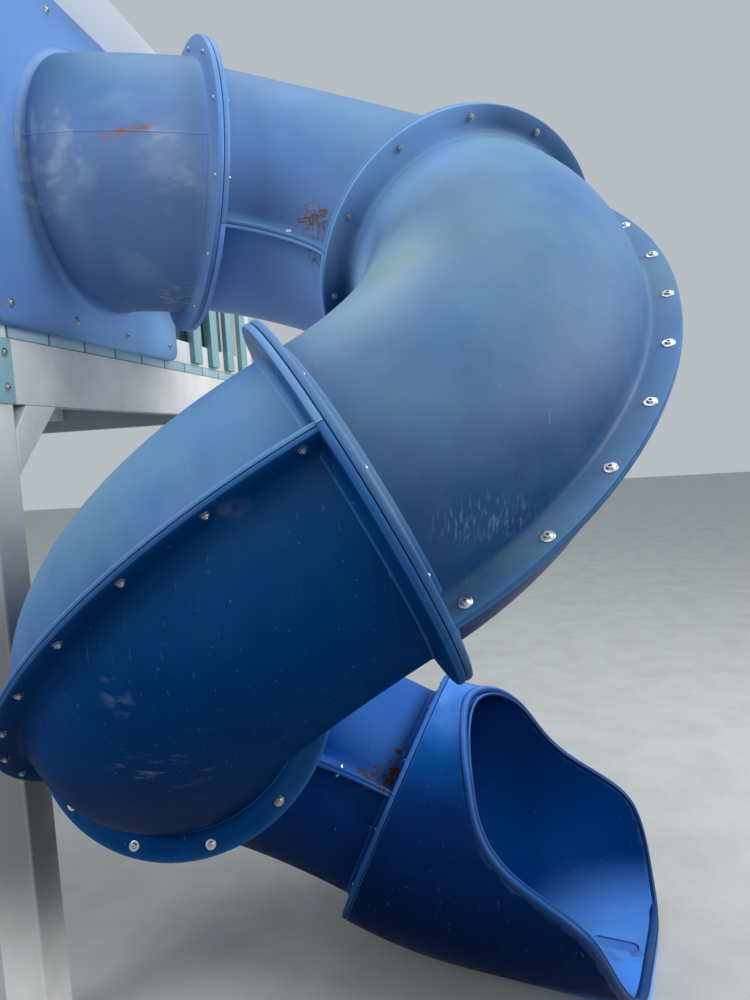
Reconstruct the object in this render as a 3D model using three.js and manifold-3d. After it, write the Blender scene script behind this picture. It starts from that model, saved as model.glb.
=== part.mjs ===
import * as THREE from "three";
import { mergeVertices } from "three/addons/utils/BufferGeometryUtils.js";
import Module from "manifold-3d";

const wasm = await Module();
wasm.setup();

// All lengths are in millimetres. X runs out of the tower wall that carries the slide,
// Y runs along that wall and Z is up. The front faces of the posts lie on X = 0.

const GAP = 0.3;
// Joined solids are set back from each other by this much, so that no faces coincide
const STEP_BACK = 0.6;

// Slide tube
const TUBE_RADIUS = 317;
const TUBE_WALL = 8;
const FLANGE_RADIUS = 381;
const FLANGE_THICKNESS = 14;
const SEAM_REACH = 377;
const SEAM_THICKNESS = 9;
const BEND_RADIUS = 571;
const BEND_ANGLE = 89.5;
const COLLAR = 6;
const ELBOW_STEPS = 8;
const HALF_STEPS = 12;

// The first ring of bolts, and how far each elbow is turned about its ring
const RING_ONE = new THREE.Vector3(388, -2, 2223.5);
const RING_ONE_AZIMUTH = 34.8;
const RING_ONE_PITCH = -4.0;
const ELBOW_ROLLS = [28.3, 34.8, 58.3, 56.4];

// Entry hood: a panel and a short flared tube that turns from the wall to the first ring
const PANEL_WIDTH = 1073;
const PANEL_CENTRE_Y = 142.5;
const PANEL_BOTTOM = 1847;
const PANEL_TOP = 2797;
const PANEL_THICKNESS = 27;
const PANEL_CORNER = 45;
const THROAT_RADIUS = 368;
const THROAT_CENTRE = new THREE.Vector3(25, 144, 2305);
const HOOD_STEPS = 7;

// Exit chute: a short bend that levels out, then a level run cut open to a scoop.
// Its outside is flush with the ring flange, and its inside opens out from the tube.
const EXIT_BEND_RADIUS = 571;
const EXIT_AZIMUTH = -16;
const EXIT_LENGTH = 500;
const EXIT_OUTER_RADIUS = 381;
const EXIT_OUTER_GROWTH = 4;
const EXIT_INNER_RADIUS = 360;
const EXIT_OPENS_WITHIN = 300;
// Side view of the cut: distance along the level run, height above the axis at its start
const EXIT_CUT = [
  [-60, 430],
  [-28, 384],
  [0, 350],
  [28, 300],
  [55, 240],
  [78, 180],
  [105, 130],
  [140, 90],
  [177, 60],
  [221, 35],
  [281, 5],
  [348, -40],
  [384, -100],
  [406, -170],
  [424, -240],
  [441, -310],
  [456, -345],
  [470, -364],
];

// Tower
const POST = 114;
const BAY = 1961;
const NEAR_POST_Y = -369;
const POST_TOP = 3090;
const CAP_HEIGHT = 34;
const BEAM_BOTTOM = 1651;
const BEAM_TOP = 1817;
const BEAM_THICKNESS = 50;
const DECK_THICKNESS = 34;
const DECK_BASE = 10;
const DECK_BOARDS = 10;
const DECK_BOARD_GAP = 6;
const JOIST_WIDTH = 45;
const JOIST_DEPTH = 110;
const JOIST_PLACES = [0.12, 0.5, 0.88];
const RAIL_THICKNESS = 40;
const LOW_RAIL_HEIGHT = 88;
const TOP_RAIL_BOTTOM = 2822;
const TOP_RAIL_TOP = 3012;
const PICKET_WIDTH = 82;
const PICKET_THICKNESS = 22;
const PICKET_PITCH = 192;
const PICKET_BOTTOM = 1858;
const PICKET_TOP = 2990;
const FIRST_PICKET_Y = 860;
const PICKET_MARGIN = 15;
const STRIP_DEPTH = 18;
const STRIP_HEIGHT = 20;
// Boards on the inner face of the rails that close the railing beside the entry
const INNER_BOARDS = 5;
const INNER_BOARD_PITCH = 96;
const FIRST_INNER_BOARD_Y = 745;
const BRACE_THICKNESS = 44;
// Where a brace meets the beam and the post, measured from their inner corner
const BRACE_ON_BEAM = [52, 189];
const BRACE_ON_POST = [65, 179];
const BRACKET_PLATE = 5;
const BRACKET_OVERLAP = 4;
const LADDER_WIDTH = 520;
const LADDER_RUN = 560;
const LADDER_RUNGS = 6;

const DEG = Math.PI / 180;

const COLOURS = {
  slide_plastic: 0x3f6fb5,
  cream_vinyl: 0xb9b3ab,
  green_plastic: 0x24524c,
};

const root = new THREE.Group();
root.name = "spiral_tube_slide_tower";

// Turns a three.js geometry into a solid for cutting and joining
function toSolid(geometry) {
  const plain = geometry.clone();
  plain.deleteAttribute("normal");
  plain.deleteAttribute("uv");
  const merged = mergeVertices(plain, 1e-4);
  const vertProperties = new Float32Array(merged.attributes.position.array);
  const triVerts = new Uint32Array(merged.index.array);
  const mesh = new wasm.Mesh({ numProp: 3, vertProperties, triVerts });
  return new wasm.Manifold(mesh);
}

function toGeometry(solid) {
  const mesh = solid.getMesh();
  const positions = [];
  for (let i = 0; i < mesh.vertProperties.length; i += mesh.numProp) {
    positions.push(mesh.vertProperties[i], mesh.vertProperties[i + 1], mesh.vertProperties[i + 2]);
  }
  const geometry = new THREE.BufferGeometry();
  geometry.setAttribute("position", new THREE.Float32BufferAttribute(positions, 3));
  geometry.setIndex(Array.from(mesh.triVerts));
  return geometry;
}

function union(parts) {
  let result = parts[0];
  for (const part of parts.slice(1)) {
    result = result.add(part);
  }
  return result;
}

function addPart(name, solid, slot) {
  const geometry = toGeometry(solid);
  geometry.computeVertexNormals();
  const material = new THREE.MeshStandardMaterial({ color: COLOURS[slot], roughness: 0.5 });
  material.name = slot;
  const mesh = new THREE.Mesh(geometry, material);
  mesh.name = name;
  root.add(mesh);
}

function block(x0, x1, y0, y1, z0, z1) {
  const geometry = new THREE.BoxGeometry(x1 - x0, y1 - y0, z1 - z0);
  geometry.translate((x0 + x1) / 2, (y0 + y1) / 2, (z0 + z1) / 2);
  return toSolid(geometry);
}

// Joins matching closed outlines, one per station, into one solid with flat ends
function loft(rings) {
  const count = rings[0].points.length;
  const positions = [];
  const index = [];
  for (const ring of rings) {
    for (const point of ring.points) {
      positions.push(point.x, point.y, point.z);
    }
  }
  for (let i = 0; i + 1 < rings.length; i += 1) {
    for (let j = 0; j < count; j += 1) {
      const k = (j + 1) % count;
      const a = i * count + j;
      const b = i * count + k;
      const c = a + count;
      const d = b + count;
      index.push(a, b, d);
      index.push(a, d, c);
    }
  }
  const faces = THREE.ShapeUtils.triangulateShape(rings[0].outline, []);
  const last = (rings.length - 1) * count;
  for (const [a, b, c] of faces) {
    index.push(a, c, b);
    index.push(last + a, last + b, last + c);
  }
  const geometry = new THREE.BufferGeometry();
  geometry.setAttribute("position", new THREE.Float32BufferAttribute(positions, 3));
  geometry.setIndex(index);
  geometry.setAttribute("normal", new THREE.Float32BufferAttribute(positions.length, 3));
  return toSolid(geometry);
}

// A station is a centre point with a heading and an outward direction square to it
function station(centre, heading, outward) {
  const side = new THREE.Vector3().crossVectors(heading, outward);
  return { centre, heading, outward, side };
}

function stationRing(at, outline) {
  const points = outline.map((p) =>
    at.centre.clone().addScaledVector(at.outward, p.x).addScaledVector(at.side, p.y));
  return { points, outline };
}

function shifted(at, distance) {
  return { ...at, centre: at.centre.clone().addScaledVector(at.heading, distance) };
}

function arcPoints(radius, from, to, steps) {
  const points = [];
  for (let i = 0; i <= steps; i += 1) {
    const angle = from + (to - from) * i / steps;
    points.push(new THREE.Vector2(radius * Math.cos(angle), radius * Math.sin(angle)));
  }
  return points;
}

// Outline of half a tube with a seam flange along each edge; side is +1 or -1
function halfShellOutline(side) {
  const inner = TUBE_RADIUS - TUBE_WALL;
  const low = GAP / 2;
  const lowAngle = Math.asin(low / inner);
  const highAngle = Math.asin(SEAM_THICKNESS / TUBE_RADIUS);
  const points = [];
  points.push(new THREE.Vector2(SEAM_REACH, low));
  points.push(new THREE.Vector2(SEAM_REACH, SEAM_THICKNESS));
  points.push(...arcPoints(TUBE_RADIUS, highAngle, Math.PI - highAngle, HALF_STEPS));
  points.push(new THREE.Vector2(-SEAM_REACH, SEAM_THICKNESS));
  points.push(new THREE.Vector2(-SEAM_REACH, low));
  points.push(...arcPoints(inner, Math.PI - lowAngle, lowAngle, HALF_STEPS));
  return side > 0 ? points : points.map((p) => new THREE.Vector2(p.x, -p.y)).reverse();
}

// Outline of half a flat ring; side is +1 or -1
function halfRingOutline(outer, side) {
  const inner = TUBE_RADIUS - TUBE_WALL / 2;
  const low = GAP / 2 + STEP_BACK;
  const points = [];
  points.push(...arcPoints(outer, Math.asin(low / outer), Math.PI - Math.asin(low / outer), HALF_STEPS));
  points.push(...arcPoints(inner, Math.PI - Math.asin(low / inner), Math.asin(low / inner), HALF_STEPS));
  return side > 0 ? points : points.map((p) => new THREE.Vector2(p.x, -p.y)).reverse();
}

function circleOutline(radius) {
  return arcPoints(radius, 0, 2 * Math.PI, 2 * HALF_STEPS).slice(0, -1);
}

function disc(at, from, to, radius) {
  const outline = circleOutline(radius);
  return loft([stationRing(shifted(at, from), outline), stationRing(shifted(at, to), outline)]);
}

// Stations along a collar, a flat bend away from the outward side, and a second collar
function bendStations(start, radius, angle, collar, steps) {
  const stations = [shifted(start, GAP / 2)];
  const origin = start.centre.clone().addScaledVector(start.heading, collar);
  const centre = origin.clone().addScaledVector(start.outward, -radius);
  for (let i = 0; i <= steps; i += 1) {
    const turn = angle * DEG * i / steps;
    const outward = start.outward.clone().multiplyScalar(Math.cos(turn));
    outward.addScaledVector(start.heading, Math.sin(turn));
    const heading = start.heading.clone().multiplyScalar(Math.cos(turn));
    heading.addScaledVector(start.outward, -Math.sin(turn));
    stations.push(station(centre.clone().addScaledVector(outward, radius), heading, outward));
  }
  return stations;
}

function rolled(at, degrees) {
  const outward = at.outward.clone().applyAxisAngle(at.heading, degrees * DEG);
  return station(at.centre.clone(), at.heading.clone(), outward);
}

function halfElbow(stations, end, side) {
  const first = stations[0];
  const shellStations = [shifted(first, STEP_BACK), ...stations.slice(1), shifted(end, -GAP / 2 - STEP_BACK)];
  const shell = loft(shellStations.map((at) => stationRing(at, halfShellOutline(side))));
  const flange = halfRingOutline(FLANGE_RADIUS, side);
  const endFace = shifted(end, -GAP / 2);
  const flangeStations = [
    [first, shifted(first, FLANGE_THICKNESS)],
    [shifted(endFace, -FLANGE_THICKNESS), endFace],
  ];
  const flanges = flangeStations.map((pair) => loft(pair.map((at) => stationRing(at, flange))));
  return union([shell, ...flanges]);
}

function headingOf(azimuth, pitch) {
  const level = new THREE.Vector3(Math.cos(azimuth * DEG), Math.sin(azimuth * DEG), 0);
  return level.multiplyScalar(Math.cos(pitch * DEG)).setZ(Math.sin(pitch * DEG));
}

function leftOf(azimuth) {
  return new THREE.Vector3(-Math.sin(azimuth * DEG), Math.cos(azimuth * DEG), 0);
}

// Entry hood
function hoodStation(share) {
  const azimuth = RING_ONE_AZIMUTH * share;
  const heading = headingOf(azimuth, RING_ONE_PITCH * share);
  const endReach = (RING_ONE.x - THROAT_CENTRE.x) / Math.sin(RING_ONE_AZIMUTH * DEG);
  const pivotY = RING_ONE.y + endReach * Math.cos(RING_ONE_AZIMUTH * DEG);
  const startReach = pivotY - THROAT_CENTRE.y;
  const reach = startReach + (endReach - startReach) * share;
  const x = THROAT_CENTRE.x + reach * Math.sin(azimuth * DEG);
  const y = pivotY - reach * Math.cos(azimuth * DEG);
  const z = THROAT_CENTRE.z + (RING_ONE.z - THROAT_CENTRE.z) * share;
  return station(new THREE.Vector3(x, y, z), heading, leftOf(azimuth));
}

function hoodRadius(share) {
  return THROAT_RADIUS + (TUBE_RADIUS - THROAT_RADIUS) * Math.sin(share * Math.PI / 2);
}

function roundedPanel() {
  const w = PANEL_WIDTH / 2;
  const r = PANEL_CORNER;
  const shape = new THREE.Shape();
  shape.moveTo(-w + r, PANEL_BOTTOM);
  shape.lineTo(w - r, PANEL_BOTTOM);
  shape.quadraticCurveTo(w, PANEL_BOTTOM, w, PANEL_BOTTOM + r);
  shape.lineTo(w, PANEL_TOP - r);
  shape.quadraticCurveTo(w, PANEL_TOP, w - r, PANEL_TOP);
  shape.lineTo(-w + r, PANEL_TOP);
  shape.quadraticCurveTo(-w, PANEL_TOP, -w, PANEL_TOP - r);
  shape.lineTo(-w, PANEL_BOTTOM + r);
  shape.quadraticCurveTo(-w, PANEL_BOTTOM, -w + r, PANEL_BOTTOM);
  const settings = { depth: PANEL_THICKNESS, bevelEnabled: false, curveSegments: 4 };
  const geometry = new THREE.ExtrudeGeometry(shape, settings);
  // Sketch axes to the wall: drawn x to Y, drawn y to Z, depth to X
  const toWall = new THREE.Matrix4();
  toWall.set(0, 0, 1, GAP, 1, 0, 0, PANEL_CENTRE_Y, 0, 1, 0, 0, 0, 0, 0, 1);
  geometry.applyMatrix4(toWall);
  return toSolid(geometry);
}

function entryHood() {
  const outer = [];
  const inner = [];
  const shares = [];
  for (let i = 0; i <= HOOD_STEPS; i += 1) {
    shares.push(i / HOOD_STEPS);
  }
  for (const share of shares) {
    const at = hoodStation(share);
    outer.push(stationRing(at, circleOutline(hoodRadius(share))));
    inner.push(stationRing(at, circleOutline(hoodRadius(share) - TUBE_WALL)));
  }
  const first = hoodStation(0);
  const end = hoodStation(1);
  const lastRing = stationRing(shifted(end, -GAP / 2), circleOutline(TUBE_RADIUS));
  const tube = loft([...outer.slice(0, -1), lastRing]);
  const flange = disc(end, -GAP / 2 - FLANGE_THICKNESS, -GAP / 2, FLANGE_RADIUS);
  const throat = loft(inner);
  const mouth = disc(first, -60, 1, THROAT_RADIUS - TUBE_WALL);
  const outlet = disc(end, -1, 30, TUBE_RADIUS - TUBE_WALL);
  return union([roundedPanel(), tube, flange]).subtract(union([throat, mouth, outlet]));
}
addPart("entry_hood", entryHood(), "slide_plastic");

// Four elbows, each of two half shells bolted along its seams
const firstHeading = headingOf(RING_ONE_AZIMUTH, RING_ONE_PITCH);
let ring = station(RING_ONE.clone(), firstHeading, leftOf(RING_ONE_AZIMUTH));
ELBOW_ROLLS.forEach((roll, i) => {
  ring = rolled(ring, roll);
  const stations = bendStations(ring, BEND_RADIUS, BEND_ANGLE, COLLAR, ELBOW_STEPS);
  const end = shifted(stations[stations.length - 1], COLLAR);
  addPart(`elbow_${i + 1}_upper`, halfElbow(stations, end, 1), "slide_plastic");
  addPart(`elbow_${i + 1}_lower`, halfElbow(stations, end, -1), "slide_plastic");
  ring = end;
});

// Exit chute
function exitPath() {
  const level = headingOf(EXIT_AZIMUTH, 0);
  const angle = ring.heading.angleTo(level) / DEG;
  const outward = level.clone().addScaledVector(ring.heading, -level.dot(ring.heading)).normalize().negate();
  const first = station(ring.centre.clone(), ring.heading.clone(), outward);
  const bend = bendStations(first, EXIT_BEND_RADIUS, angle, COLLAR, 5);
  const start = bend[bend.length - 1];
  const run = [0.25, 0.5, 0.75, 1].map((share) => shifted(start, EXIT_LENGTH * share));
  return { first, start, stations: [...bend, ...run] };
}

// Rings of the chute's outside, which grows a little all the way
function exitOutside(stations) {
  return widened(stations, (share) => EXIT_OUTER_RADIUS + EXIT_OUTER_GROWTH * share);
}

// Rings of the chute's inside, which opens out from the tube before the level run
function exitInside(stations, length) {
  const start = TUBE_RADIUS - TUBE_WALL;
  return widened(stations, (share) => {
    const opened = Math.min(1, share * length / EXIT_OPENS_WITHIN);
    return start + (EXIT_INNER_RADIUS - start) * Math.sin(opened * Math.PI / 2) ** 2;
  });
}

// Rings at the stations, with a radius that depends on the share of the path travelled
function widened(stations, radiusAt) {
  let travelled = 0;
  const distances = stations.map((at, i) => {
    travelled += i === 0 ? 0 : at.centre.distanceTo(stations[i - 1].centre);
    return travelled;
  });
  return stations.map((at, i) => ({ raised: at, radius: radiusAt(distances[i] / travelled) }));
}

function loftRings(rings) {
  return loft(rings.map(({ raised, radius }) => stationRing(raised, circleOutline(radius))));
}

// The same rings with the first and last ones moved outwards
function lengthened(rings, distance) {
  const last = rings.length - 1;
  return rings.map((item, i) => {
    const move = i === 0 ? -distance : i === last ? distance : 0;
    return { ...item, raised: shifted(item.raised, move) };
  });
}

// Everything above and beyond the exit's cut line, as a slab across the chute
function cutter(start) {
  const shape = new THREE.Shape();
  const far = EXIT_LENGTH + 200;
  const high = 700;
  shape.moveTo(far, high);
  shape.lineTo(EXIT_CUT[0][0], high);
  for (const [along, height] of EXIT_CUT) {
    shape.lineTo(along, height);
  }
  shape.lineTo(EXIT_CUT[EXIT_CUT.length - 1][0], -high);
  shape.lineTo(far, -high);
  const geometry = new THREE.ExtrudeGeometry(shape, { depth: 1400, bevelEnabled: false });
  geometry.translate(0, 0, -700);
  const side = leftOf(EXIT_AZIMUTH).negate();
  const up = new THREE.Vector3(0, 0, 1);
  const matrix = new THREE.Matrix4().makeBasis(start.heading, up, side);
  matrix.setPosition(start.centre);
  geometry.applyMatrix4(matrix);
  return toSolid(geometry);
}

// The chute stands on the ground on a flat strip along its underside, and its floor
// keeps the level of the tube's floor
function exitChute() {
  const { start, stations } = exitPath();
  const length = EXIT_BEND_RADIUS * stations[0].heading.angleTo(start.heading) + EXIT_LENGTH;
  const floorLevel = start.centre.z - TUBE_RADIUS + TUBE_WALL;
  const outer = loftRings(exitOutside(stations)).trimByPlane([0, 0, 1], 0);
  const inner = loftRings(lengthened(exitInside(stations, length), 5)).trimByPlane([0, 0, 1], floorLevel);
  return outer.subtract(inner).subtract(cutter(start));
}
addPart("exit_chute", exitChute(), "slide_plastic");

// Tower: four posts, a deck on rim beams, and a picket railing round it
const frontX = -POST / 2;
const backX = frontX - BAY;
const nearY = NEAR_POST_Y;
const farY = NEAR_POST_Y + BAY;
const half = POST / 2;

function post(x, y) {
  const column = block(x - half, x + half, y - half, y + half, 0, POST_TOP);
  const cap = new THREE.CylinderGeometry(8, (half + 7) * Math.SQRT2, CAP_HEIGHT, 4, 1);
  cap.rotateX(Math.PI / 2);
  cap.rotateZ(Math.PI / 4);
  cap.translate(x, y, POST_TOP + CAP_HEIGHT / 2 - 2);
  return union([column, toSolid(cap)]);
}
addPart("post_front_near", post(frontX, nearY), "cream_vinyl");
addPart("post_front_far", post(frontX, farY), "cream_vinyl");
addPart("post_back_near", post(backX, nearY), "cream_vinyl");
addPart("post_back_far", post(backX, farY), "cream_vinyl");

const outerX = backX - half;
const nearFace = nearY - half;
const farFace = farY + half;
const betweenX = [backX + half + GAP, frontX - half - GAP];
const betweenY = [nearY + half + GAP, farY - half - GAP];

function beamAlongY(front, z0, z1, thickness) {
  return block(front - thickness, front, betweenY[0], betweenY[1], z0, z1);
}

function beamAlongX(front, z0, z1, thickness) {
  return block(betweenX[0], betweenX[1], front, front + thickness, z0, z1);
}

// The same member along the front, near and far sides of the tower
function addThreeSides(name, z0, z1) {
  const t = RAIL_THICKNESS;
  addPart(`${name}_front`, beamAlongY(0, z0, z1, t), "cream_vinyl");
  addPart(`${name}_near`, beamAlongX(nearFace, z0, z1, t), "cream_vinyl");
  addPart(`${name}_far`, beamAlongX(farFace - t, z0, z1, t), "cream_vinyl");
}

const rimBeams = {
  rim_beam_front: beamAlongY(0, BEAM_BOTTOM, BEAM_TOP, BEAM_THICKNESS),
  rim_beam_back: beamAlongY(outerX + BEAM_THICKNESS, BEAM_BOTTOM, BEAM_TOP, BEAM_THICKNESS),
  rim_beam_near: beamAlongX(nearFace, BEAM_BOTTOM, BEAM_TOP, BEAM_THICKNESS),
  rim_beam_far: beamAlongX(farFace - BEAM_THICKNESS, BEAM_BOTTOM, BEAM_TOP, BEAM_THICKNESS),
};
for (const [name, solid] of Object.entries(rimBeams)) {
  addPart(name, solid, "cream_vinyl");
}

// Deck boards lie on the beams, with grooves between them down to a thin base
const deckBottom = BEAM_TOP + GAP;
const deckTop = deckBottom + DECK_THICKNESS;

function deck() {
  const baseTop = deckBottom + DECK_BASE;
  const edge = DECK_BOARD_GAP / 2;
  const parts = [
    block(outerX, 0, betweenY[0], betweenY[1], deckBottom, baseTop),
    block(betweenX[0], betweenX[1], nearFace, farFace, deckBottom, baseTop),
    block(betweenX[0], betweenX[1], nearFace, betweenY[0] - edge, deckBottom, deckTop),
    block(betweenX[0], betweenX[1], betweenY[1] + edge, farFace, deckBottom, deckTop),
  ];
  const pitch = (betweenY[1] - betweenY[0]) / DECK_BOARDS;
  for (let i = 0; i < DECK_BOARDS; i += 1) {
    const y0 = betweenY[0] + i * pitch + edge;
    parts.push(block(outerX, 0, y0, y0 + pitch - DECK_BOARD_GAP, deckBottom, deckTop));
  }
  return union(parts);
}
addPart("deck", deck(), "green_plastic");

// Joists run between the near and far beams under the deck
JOIST_PLACES.forEach((share, i) => {
  const x = betweenX[0] + (betweenX[1] - betweenX[0]) * share;
  const inset = BEAM_THICKNESS + GAP;
  const solid = block(
    x - JOIST_WIDTH / 2, x + JOIST_WIDTH / 2,
    nearFace + inset, farFace - inset,
    BEAM_TOP - JOIST_DEPTH, BEAM_TOP);
  addPart(`joist_${i + 1}`, solid, "cream_vinyl");
});

const lowRail = [deckTop + GAP, deckTop + GAP + LOW_RAIL_HEIGHT];
addThreeSides("low_rail", lowRail[0], lowRail[1]);
addThreeSides("top_rail", TOP_RAIL_BOTTOM, TOP_RAIL_TOP);

// Pickets on the outer face of the rails, joined by two slim strips between the rails
function picketsAlongY(first, to) {
  const parts = [];
  let end = first;
  for (let y = first; y + PICKET_WIDTH <= to; y += PICKET_PITCH) {
    end = y + PICKET_WIDTH;
    parts.push(block(GAP, GAP + PICKET_THICKNESS, y, end, PICKET_BOTTOM, PICKET_TOP));
  }
  parts.push(...railingStrips(-STRIP_DEPTH, GAP + 2, first, end));
  return union(parts);
}

function railingStrips(x0, x1, y0, y1) {
  const low = lowRail[1] + GAP;
  const high = TOP_RAIL_BOTTOM - GAP;
  return [
    block(x0, x1, y0, y1, low, low + STRIP_HEIGHT),
    block(x0, x1, y0, y1, high - STRIP_HEIGHT, high),
  ];
}

function innerBoards() {
  const face = -RAIL_THICKNESS - GAP;
  const end = FIRST_INNER_BOARD_Y + (INNER_BOARDS - 1) * INNER_BOARD_PITCH + PICKET_WIDTH;
  const parts = railingStrips(face - 2, -STRIP_DEPTH - GAP, FIRST_INNER_BOARD_Y, end);
  for (let i = 0; i < INNER_BOARDS; i += 1) {
    const y = FIRST_INNER_BOARD_Y + i * INNER_BOARD_PITCH;
    parts.push(block(face - PICKET_THICKNESS, face, y, y + PICKET_WIDTH, deckTop + 4, PICKET_TOP));
  }
  return union(parts);
}

// Turns a railing made for the front on to the near or far side
function turnedToSide(solid, side) {
  return solid.rotate([0, 0, 90 * side]);
}

addPart("railing_front", picketsAlongY(FIRST_PICKET_Y, farY - half - PICKET_MARGIN), "green_plastic");
addPart("inner_boards", innerBoards(), "green_plastic");
const sideLength = betweenX[1] - betweenX[0];
const sideRoom = sideLength - 2 * PICKET_MARGIN - PICKET_WIDTH;
const sideSpan = Math.floor(sideRoom / PICKET_PITCH) * PICKET_PITCH + PICKET_WIDTH;
const sideStart = (sideLength - sideSpan) / 2;
const sideRailing = picketsAlongY(sideStart, sideLength - PICKET_MARGIN);
const nearRailing = turnedToSide(sideRailing, -1).translate([betweenX[0], nearFace, 0]);
const farRailing = turnedToSide(sideRailing, 1).translate([betweenX[1], farFace, 0]);
addPart("railing_near", nearRailing, "green_plastic");
addPart("railing_far", farRailing, "green_plastic");

// Knee braces under the front and back beams
function braceSolid() {
  const shape = new THREE.Shape();
  shape.moveTo(GAP, -GAP - BRACE_ON_POST[0]);
  shape.lineTo(GAP, -GAP - BRACE_ON_POST[1]);
  shape.lineTo(GAP + BRACE_ON_BEAM[1], -GAP);
  shape.lineTo(GAP + BRACE_ON_BEAM[0], -GAP);
  const geometry = new THREE.ExtrudeGeometry(shape, { depth: BRACE_THICKNESS, bevelEnabled: false });
  const toWall = new THREE.Matrix4();
  toWall.set(0, 0, 1, -BRACE_THICKNESS, 1, 0, 0, 0, 0, 1, 0, 0, 0, 0, 0, 1);
  geometry.applyMatrix4(toWall);
  return toSolid(geometry);
}
const brace = braceSolid();
const braceFar = brace.mirror([0, 1, 0]);
const backFace = outerX + BRACE_THICKNESS;
addPart("brace_front_near", brace.translate([0, nearY + half, BEAM_BOTTOM]), "cream_vinyl");
addPart("brace_front_far", braceFar.translate([0, farY - half, BEAM_BOTTOM]), "cream_vinyl");
addPart("brace_back_near", brace.translate([backFace, nearY + half, BEAM_BOTTOM]), "cream_vinyl");
addPart("brace_back_far", braceFar.translate([backFace, farY - half, BEAM_BOTTOM]), "cream_vinyl");

// Corner brackets that tie the front and back beams to their posts
function bracket(front, y, toFar, outside) {
  const reach = half + BRACKET_OVERLAP;
  const y0 = toFar ? y - half : y - reach;
  const y1 = toFar ? y + reach : y + half;
  const x0 = outside > 0 ? front + GAP : front - GAP - BRACKET_PLATE;
  return block(x0, x0 + BRACKET_PLATE, y0, y1, BEAM_BOTTOM, BEAM_TOP - 3);
}
addPart("bracket_front_near", bracket(0, nearY, true, 1), "green_plastic");
addPart("bracket_front_far", bracket(0, farY, false, 1), "green_plastic");
addPart("bracket_back_near", bracket(outerX, nearY, true, -1), "green_plastic");
addPart("bracket_back_far", bracket(outerX, farY, false, -1), "green_plastic");

// Ladder to the open back of the deck
function ladder() {
  const parts = [];
  const topZ = deckTop - 60;
  const foot = outerX - GAP - LADDER_RUN;
  const head = outerX - GAP;
  const y = (nearY + farY) / 2;
  for (const side of [-1, 1]) {
    const shape = new THREE.Shape();
    shape.moveTo(foot - 45, 0);
    shape.lineTo(foot + 45, 0);
    shape.lineTo(head, topZ - 90);
    shape.lineTo(head, topZ);
    shape.lineTo(head - 20, topZ);
    const geometry = new THREE.ExtrudeGeometry(shape, { depth: 40, bevelEnabled: false });
    geometry.rotateX(Math.PI / 2);
    geometry.translate(0, y + side * LADDER_WIDTH / 2 + 20, 0);
    parts.push(toSolid(geometry));
  }
  for (let i = 0; i < LADDER_RUNGS; i += 1) {
    const share = (i + 1) / (LADDER_RUNGS + 1);
    const x = foot + LADDER_RUN * share;
    const z = topZ * share;
    parts.push(block(x - 40, x + 40, y - LADDER_WIDTH / 2, y + LADDER_WIDTH / 2, z - 14, z + 14));
  }
  return union(parts);
}
addPart("ladder", ladder(), "cream_vinyl");

// The finished object is centred over the origin
const bounds = new THREE.Box3().setFromObject(root);
const middle = bounds.getCenter(new THREE.Vector3());
for (const mesh of root.children) {
  mesh.geometry.translate(-middle.x, -middle.y, -bounds.min.z);
}

export default root;
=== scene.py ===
import math

import bmesh
import bpy
from mathutils import Matrix, Vector


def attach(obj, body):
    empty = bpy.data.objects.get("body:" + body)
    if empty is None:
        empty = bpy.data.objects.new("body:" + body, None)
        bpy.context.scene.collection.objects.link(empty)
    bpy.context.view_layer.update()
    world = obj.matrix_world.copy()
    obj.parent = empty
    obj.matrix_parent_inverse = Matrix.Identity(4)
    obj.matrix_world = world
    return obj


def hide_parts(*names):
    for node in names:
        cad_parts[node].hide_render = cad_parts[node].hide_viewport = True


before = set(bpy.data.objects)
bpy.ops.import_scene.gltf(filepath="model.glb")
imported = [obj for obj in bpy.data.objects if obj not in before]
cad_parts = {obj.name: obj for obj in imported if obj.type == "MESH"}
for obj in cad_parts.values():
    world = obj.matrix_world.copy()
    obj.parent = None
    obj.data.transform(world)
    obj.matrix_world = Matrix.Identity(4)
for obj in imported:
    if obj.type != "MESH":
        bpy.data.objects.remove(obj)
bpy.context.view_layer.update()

# Lengths are in metres. The wall frame has its origin on the ground at the front faces of
# the posts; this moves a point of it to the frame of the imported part.
WALL_ORIGIN = Vector((0.540682, -0.305033, 0.0))
UP = Vector((0, 0, 1))
# Pieces that meet are set this far apart
GAP = 0.0003
# Points nearer than this are one
SAME_POINT = 0.00005

# Slide tube
TUBE_RADIUS = 0.317
TUBE_WALL = 0.0086
SEAM_LIFT = 0.009
BEND_RADIUS = 0.571
BEND_ANGLE = math.radians(89.5)
COLLAR = 0.006
TUBE_SIDES = 96
BEND_STEPS = 36
RING_ONE = Vector((0.388, -0.002, 2.2235))
RING_ONE_AZIMUTH = math.radians(34.8)
RING_ONE_PITCH = math.radians(-4.0)
# How far each elbow is turned about its ring, in degrees
ELBOW_ROLLS = [28.3, 34.8, 58.3, 56.4]
EDGE_ROUNDING = 0.0022
# Angle left open at each end of a half ring, so that the two halves don't touch
HALF_RING_GAP = 0.002

FLANGE_THICKNESS = 0.014
# Section of a ring flange: distance from the axis, distance from the mating face
FLANGE_SECTION = [
    (0.3115, 0.0004), (0.3770, 0.0004), (0.3800, 0.0016), (0.3810, 0.0045),
    (0.3810, 0.0100), (0.3798, 0.0128), (0.3770, FLANGE_THICKNESS), (0.3420, FLANGE_THICKNESS),
    (0.3320, 0.0150), (0.3245, 0.0180), (0.3195, 0.0230), (0.3172, 0.0300),
    (0.3115, 0.0300),
]
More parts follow.
